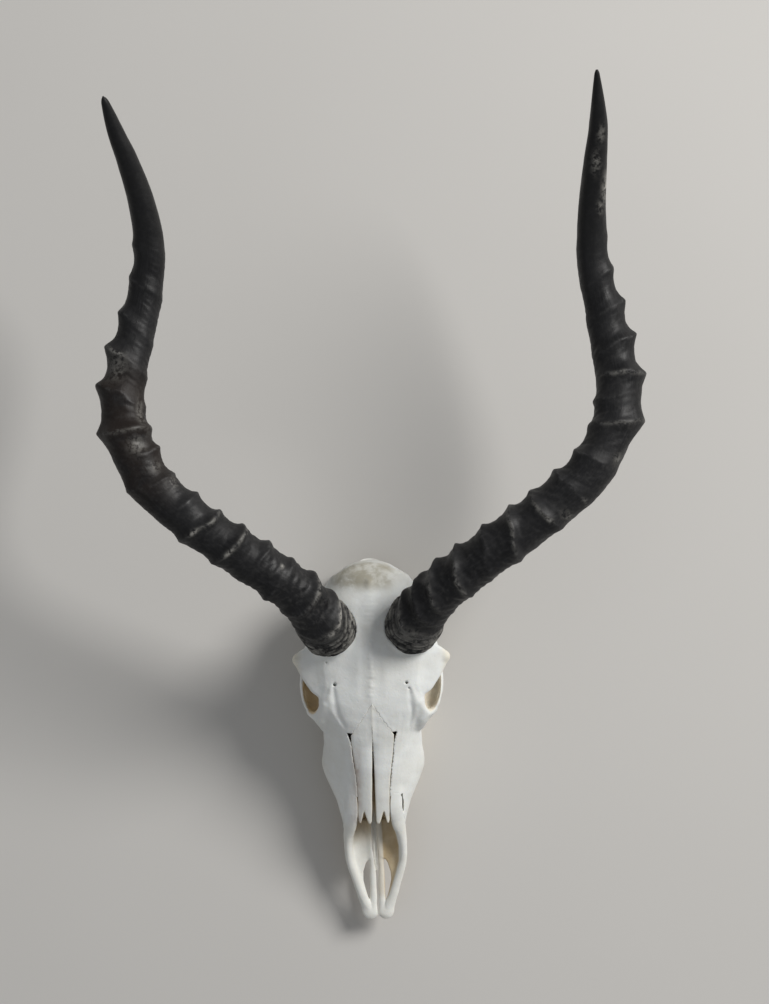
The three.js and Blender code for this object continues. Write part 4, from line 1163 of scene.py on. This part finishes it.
# Teeth: name, length along the row, width, x of the middle.
TEETH = [
    ("premolar_2", 8, 7, 22), ("premolar_3", 10, 9, 24), ("premolar_4", 10, 11, 26),
    ("molar_1", 14, 13, 27.6), ("molar_2", 16, 14, 29), ("molar_3", 16, 13, 30),
]
FIRST_TOOTH_Y, TOOTH_GAP = -140.0, 0.5
SOCKET_TOP = 18.4


def premaxilla_shape(grow):
    """The branch, bar and shelf of one premaxilla, for x above 0. grow makes them larger on every side."""
    def grown(rows):
        return [(x, y, z, w + grow, h + grow) for x, y, z, w, h in rows]

    def middle(x, y):
        return 23.2 + 0.09 * np.clip(y + 190, -30, 25) + 0.016 * np.clip(x - 6, 0, 20) ** 2

    shelf = plate(SHELF_OUTLINE, middle, 1.0 + grow, 1.0)
    return strap(grown(BRANCH), (0.35, 0, 1), 26), strap(grown(BAR), UPWARD, 10), shelf


def branch_at(y, column):
    """A column of BRANCH at each y."""
    rows = np.array(BRANCH)[::-1]
    return np.interp(y, rows[:, 1], rows[:, column])


def splint_plan(x, y):
    return outline_distance(*SPLINT.T, x[:, :, 0], y[:, :, 0])[:, :, None]


def splint_seat():
    def f(x, y, z):
        beside_nasal = np.maximum(np.abs(x - 12.6) - 0.9, np.abs(y + 148) - 14) + 0 * z
        low = branch_at(y, 2).astype(np.float32) - 2.9
        return np.maximum(np.minimum(splint_plan(x, y) + 0.4, beside_nasal), low - z)

    return ((10, -164, 30), (26, -117, 70)), f


def make_premaxillae(skull):
    for side, name in ((-1, "premaxilla_left"), (1, "premaxilla_right")):
        f = Field((0, -238, 14), (28, -117, 64), 0.45)
        for shape, blend in zip(premaxilla_shape(0.0), (0.01, 0.8, 2.5)):
            f.add(shape, blend)
        x, y, z = f.grid()
        # Flat front body, and the clear slit to the other side.
        f.add(ellipsoid((6.2, -229.0, 19.4), (6.2, 6.6, 2.3)), 1.6)
        slit = np.interp(y, [-205, -195, -178], [0.7, 1.4, 3.0 if side < 0 else 1.2]).astype(np.float32)
        f.v = smooth_max(f.v, (slit - x) + 0 * z, 0.4)
        # Where the branch lies in the cheek bone it is flush with it. It runs a little way under the edge of
        # the cheek bone, but not under the nasal bone.
        top = skull.sample(side * x, y, z)
        plan = splint_plan(x, y) - 0.4 * ramp01(x, 14, 15)
        low = branch_at(y, 2).astype(np.float32) - 2.6
        splint = smooth_max(smooth_max(top, plan, 0.25), low - z, 0.6)
        on = ramp01(y, -156, -146)
        f.v = (splint * on + f.v * (1 - on)).astype(np.float32)
        f.v += (waves(30 + side, 8, 7, 20, 0.12)(x, y, z) * (1 - on)).astype(np.float32)
        if side < 0:
            f = Field.of(f.step, [-f.axes[0][::-1], *f.axes[1:]], f.v[::-1].copy())
        ob = field_object(name + "_bone", f, 40000)
        p, n = head_points(ob), vertex_normals(ob)
        out, y, down = np.abs(p[:, 0]), p[:, 1], -n[:, 2]
        splint_part = ramp01(y, -160, -150)
        own = 0.25 + 0.3 * ramp01(down, -0.6, 0.6)
        # The face toward the open nose is tan: only its rear end on the left, the tan of the inside of the
        # nose; all of it on the right, where the tan and the darker tone over it are painted shade.
        inside = ramp01(branch_at(y, 0) - branch_at(y, 3) - out, -0.8, 0.8) * ramp01(y, -222, -212)
        if side < 0:
            tan_and_painted_shade = 0.8 * inside * ramp01(y, -180, -156)
        else:
            tan_and_painted_shade = inside * (0.3 + 0.7 * ramp01(out, 5.2, 6.2))
        flank = ramp01(-y, 120, 140) * ramp01(21 - out, 0, 6) * splint_part
        mark(ob, warm=own * (1 - splint_part) + 0.5 * ramp01(down, 0.0, 0.8) * splint_part,
             thin=0.7 * ramp01(y, -200, -165) * ramp01(-p[:, 2], -27, -24),
             tan=tan_and_painted_shade + 0.5 * ramp01(down, 0.2, 0.9),
             deep=0.2 * tan_and_painted_shade * (side > 0), pink=0.55 * flank * (side < 0))
        finish_piece(ob, [name], BONE)


def make_vomer():
    f = Field((-8, -200, 19), (8, -86, 50), 0.4)
    x, y, z = f.grid()
    rows = np.array(VOMER[::-1], float)
    half, low, top = (np.interp(y, rows[:, 0], rows[:, k]).astype(np.float32) for k in (1, 2, 3))
    lean = half * (0.45 + 0.55 * np.clip((z - low) / (top - low), 0, 1))
    wall = np.abs(np.abs(x) - lean) - 0.4
    floor = np.maximum(np.abs(z - low - 0.6) - 0.7, np.abs(x) - half * 0.6)
    body = smooth_min(np.maximum(wall, low - z), floor, 1.0)
    body = smooth_max(body, z - top, 0.8)
    ends = np.maximum(-197.0 - y, y + 88.0) + 0 * x + 0 * z
    f.v = smooth_max(body, ends, 0.8).astype(np.float32)
    # It stands a little left of the middle.
    f.axes[0] = f.axes[0] - 0.6
    ob = field_object("vomer_bone", f, 16000)
    y = head_points(ob)[:, 1]
    plain = np.full(len(y), 0.3)
    # Tan toward the rear, with painted shade where it lies deep in the nose.
    mark(ob, warm=plain, thin=plain, tan=0.9 * ramp01(y, -158, -140), deep=ramp01(y, -118, -95))
    finish_piece(ob, ["vomer"], BONE)


def tooth_rows():
    front = FIRST_TOOTH_Y
    for name, length, width, x in TEETH:
        yield name, length, width, x, front + length / 2
        front += length + TOOTH_GAP


def squared(x, y, half_x, half_y):
    """A rounded square in plan, as a share of its own size: 0 on its edge."""
    return ((np.abs(x) / half_x) ** 3.2 + (np.abs(y) / half_y) ** 3.2) ** (1 / 3.2) - 1


def crescents(x, y, width, lobes, lobe_r, soft):
    """The worn hollows of a tooth's face in plan, one on each lobe, from 0 to 1."""
    out = 0
    for ly in lobes:
        r = np.sqrt(((x + width * 0.06) / (width * 0.34)) ** 2 + ((y - ly) / (lobe_r * 0.78)) ** 2)
        out = np.maximum(out, np.exp(-((r - 0.62) / soft) ** 2))
    return out


def make_teeth():
    for name, length, width, cx, cy in tooth_rows():
        molar = name.startswith("molar")
        reach_x, reach_y = width / 2 + 1.5, length / 2 + 1.5
        f = Field((-reach_x, -reach_y, -1), (reach_x, reach_y, 19.4), 0.34)
        x, y, z = f.grid()
        grow = 0.9 + 0.1 * ramp01(z, 0, 3) - 0.12 * ramp01(z, 9, 18)
        # Two lobes on a molar, one on a premolar, with a ribbed outer wall and rounded inner crescents.
        lobes = (-length * 0.25, length * 0.25) if molar else (0.0,)
        lobe_r = length * (0.29 if molar else 0.52)
        size = min(width * 0.5, lobe_r)
        body = squared(x, y - lobes[0], width * 0.5 * grow, lobe_r * grow) * size
        for ly in lobes[1:]:
            body = smooth_min(body, squared(x, y - ly, width * 0.5 * grow, lobe_r * grow) * size, 1.0)
        body = body - 0.35 * np.cos(y * 2 * np.pi / (length / (4 if molar else 2))) * ramp01(x, 0, width / 2)
        worn_face = 1.5 * crescents(x, y, width, lobes, lobe_r, 0.17) - z
        f.v = smooth_max(body, worn_face, 0.45).astype(np.float32)
        f.v = smooth_max(f.v, z - 18.0 + 0 * x + 0 * y, 1.2)
        ob = field_object("tooth", f, 9000, lean=False)
        local = head_points(ob, lean=False)
        faces = [tuple(face.vertices) for face in ob.data.polygons]
        bpy.data.objects.remove(ob)
        hollow = crescents(local[:, 0], local[:, 1], width, lobes, lobe_r, 0.2)
        groove = hollow * (1 - ramp01(local[:, 2], 0.8, 2.5)) + 0.5 * ramp01(local[:, 2], 11, 15)
        for side, word in ((-1, "left"), (1, "right")):
            p = local * [side, 1, 1] + [side * cx + midline(cy), cy, 0]
            made = mesh_object(f"{name}_{word}_crown", p, faces if side > 0 else [g[::-1] for g in faces])
            mark(made, groove=groove)
            finish_piece(made, [f"{name}_{word}"], TOOTH)


def join_branches(f):
    """The branches of the premaxillae and the cheek bones share one smooth surface."""
    (lo, hi), branch = premaxilla_shape(0.0)[0]
    box = ((lo[0], -159, lo[2]), (hi[0], -120, hi[2]))
    for side in (-1, 1):
        f.add(on_side((box, branch), side), 4)


def cut_openings(f):
    """The seats of the other bones and of the teeth, and the gaps between the bones."""
    for side in (-1, 1):
        f.cut(nasal_seat(side), 0.15)
    # The three-cornered gaps where the nasal, frontal and cheek bones meet.
    for corners in ([(-19.9, -81.4), (-14.6, -82.0), (-16.9, -89.5)],
                    [(13.6, -81.8), (19.3, -80.9), (16.6, -88.9)]):
        f.cut(plate(corners, lambda x, y: 78 + 0 * x, 12, 0.4), 0.3)
    # Room under the front and the middle of the nasal bones.
    front = [(-13.6, -134), (13.6, -134), (14.5, -166), (-14.5, -166)]
    f.cut(plate(front, lambda x, y: 56 + 0 * x, 14, 1.0), 0.6)
    middle = [(-8, -97), (8, -97), (10.5, -138), (-10.5, -138)]
    f.cut(plate(middle, lambda x, y: roof_fall(x, y) - 8, 5.5, 1.0), 0.5)
    # The narrow slits between the cheek bone and the branch of the premaxilla.
    for rows in CHEEK_SLITS:
        f.cut(strap(rows, UPWARD, 8), 0.4)
    for side in (-1, 1):
        for shape in (*premaxilla_shape(0.35)[1:], splint_seat()):
            f.cut(on_side(shape, side), 0.3)
        for _, length, width, cx, cy in tooth_rows():
            def socket(x, y, z):
                size = min(width, length) * 0.5
                plan = squared(x - cx, y - cy, width * 0.5 + 0.25, length * 0.5 + 0.25) * size
                return np.maximum(plan, z - SOCKET_TOP)

            box = ((cx - width / 2 - 1, cy - length / 2 - 1, 0),
                   (cx + width / 2 + 1, cy + length / 2 + 1, SOCKET_TOP))
            f.cut(on_side((box, socket), side), 0.3)


def finish_skull(f):
    ob = field_object("skull_bone", f, 190000)
    p, n = head_points(ob), vertex_normals(ob)
    x, y, z = np.abs(p[:, 0]), p[:, 1], p[:, 2]
    left, right = p[:, 0] < 0, p[:, 0] > 0
    seam = nearest_nasal(p[:, 0], y)
    under_roof = roof_fall(x, y) - z
    on_roof = ramp01(-under_roof, -5, -2.5)
    # Stained top of the braincase, painted paler to the right as painted light on its lit side.
    dome = ramp01(y, 24, 38) * ramp01(z, 50, 78) * (1 - 0.5 * ramp01(x, 20, 34))
    dome = dome * (1 - 0.75 * ramp01(p[:, 0], 10, 24))
    # Tan walls of the eye sockets, where the bone faces the middle of the socket. The right socket gets less
    # tan, painted paler as painted light.
    socket = ramp01(-ellipsoid((50, -47, 64), (24, 23, 19))[1](x, y, z), -1.5, 1.5)
    to_eye = np.stack([(52 - x) * np.sign(p[:, 0]), -46.5 - y, 62.5 - z], axis=1)
    facing = np.sum(n * to_eye, axis=1) / np.linalg.norm(to_eye, axis=1)
    rim = ramp01(z, 78, 82) * ramp01(n[:, 2], 0.0, 0.4)
    socket = socket * ramp01(facing, 0.0, 0.45) * (1 - rim) * (1 - 0.56 * right)
    # Tan inside of the nose, and painted shade deep in it and in the hollow of the brain.
    nose_floor = np.interp(y, [-176, -159, -141, -120, -98, -80], [24, 23.6, 25.3, 28, 32, 37])
    in_nose = ramp01(-y, 70, 84) * ramp01(22 - x, 0, 3) * ramp01(under_roof, 3.0, 5.0)
    in_nose = in_nose * ramp01(z - nose_floor, -1.4, -0.5)
    cave = ramp01(-ellipsoid((0, 12, 62), (30.5, 31.5, 27.5))[1](x, y, z), -0.2, 0.8)
    edge = ramp01(x, 52, 60) * ramp01(z, 70, 78)
    # Pink stain on the left, beside the nasal bone and toward the snout.
    pink = 0.6 * np.exp(-(seam / 2.6) ** 2) * ramp01(-y, 86, 94)
    pink = pink + 0.55 * ramp01(-y, 120, 140) * ramp01(21 - x, 0, 6)
    mark(ob, warm=0.75 * edge + 0.5 * ramp01(-n[:, 2], 0.0, 0.8) + 0.25 * ramp01(-z, -45, -25),
         pink=pink * left * on_roof, thin=1.1 * dome,
         seam=np.abs(seam) / SEAM_REACH, seam_dark=on_roof * ramp01(y, -84, -80) * (0.05 + 0.09 * left),
         tan=0.95 * socket + in_nose, deep=cave + in_nose * ramp01(y, -120, -98))
    finish_piece(ob, ["skull"], BONE)


skull_field = make_skull()
join_branches(skull_field)
make_nasals(skull_field)
make_premaxillae(skull_field)
make_vomer()
make_teeth()
cut_openings(skull_field)
finish_skull(skull_field)

# ---------------------------------------- floor and light
FLOOR = 6.0
floor_mesh = bpy.data.meshes.new("floor")
corners = [(-FLOOR, -FLOOR, 0), (FLOOR, -FLOOR, 0), (FLOOR, FLOOR, 0), (-FLOOR, FLOOR, 0)]
floor_mesh.from_pydata(corners, [], [(0, 1, 2, 3)])
floor = bpy.data.objects.new("floor", floor_mesh)
bpy.context.scene.collection.objects.link(floor)
floor.location.z = -0.0001
floor_mesh.materials.append(floor_material())


def area_light(name, at, aim, size, watts, colour):
    data = bpy.data.lights.new(name, "AREA")
    data.shape = "DISK"
    data.size = size
    data.energy = watts
    data.color = colour
    ob = bpy.data.objects.new(name, data)
    bpy.context.scene.collection.objects.link(ob)
    ob.location = at
    ob.rotation_euler = (Vector(aim) - Vector(at)).to_track_quat("-Z", "Y").to_euler()


area_light("key", (2.05, 1.35, 2.0), (0.0, 0.0, 0.08), 1.3, 88, (1.0, 0.985, 0.96))
area_light("fill", (-1.8, -0.6, 2.4), (0.0, 0.0, 0.05), 2.4, 3, (0.94, 0.97, 1.0))
world = bpy.data.worlds.new("world")
bpy.context.scene.world = world
world.use_nodes = True
background = world.node_tree.nodes["Background"].inputs
background["Color"].default_value = (0.95, 0.97, 1.0, 1.0)
background["Strength"].default_value = 0.265
bpy.context.scene.view_settings.view_transform = "Standard"
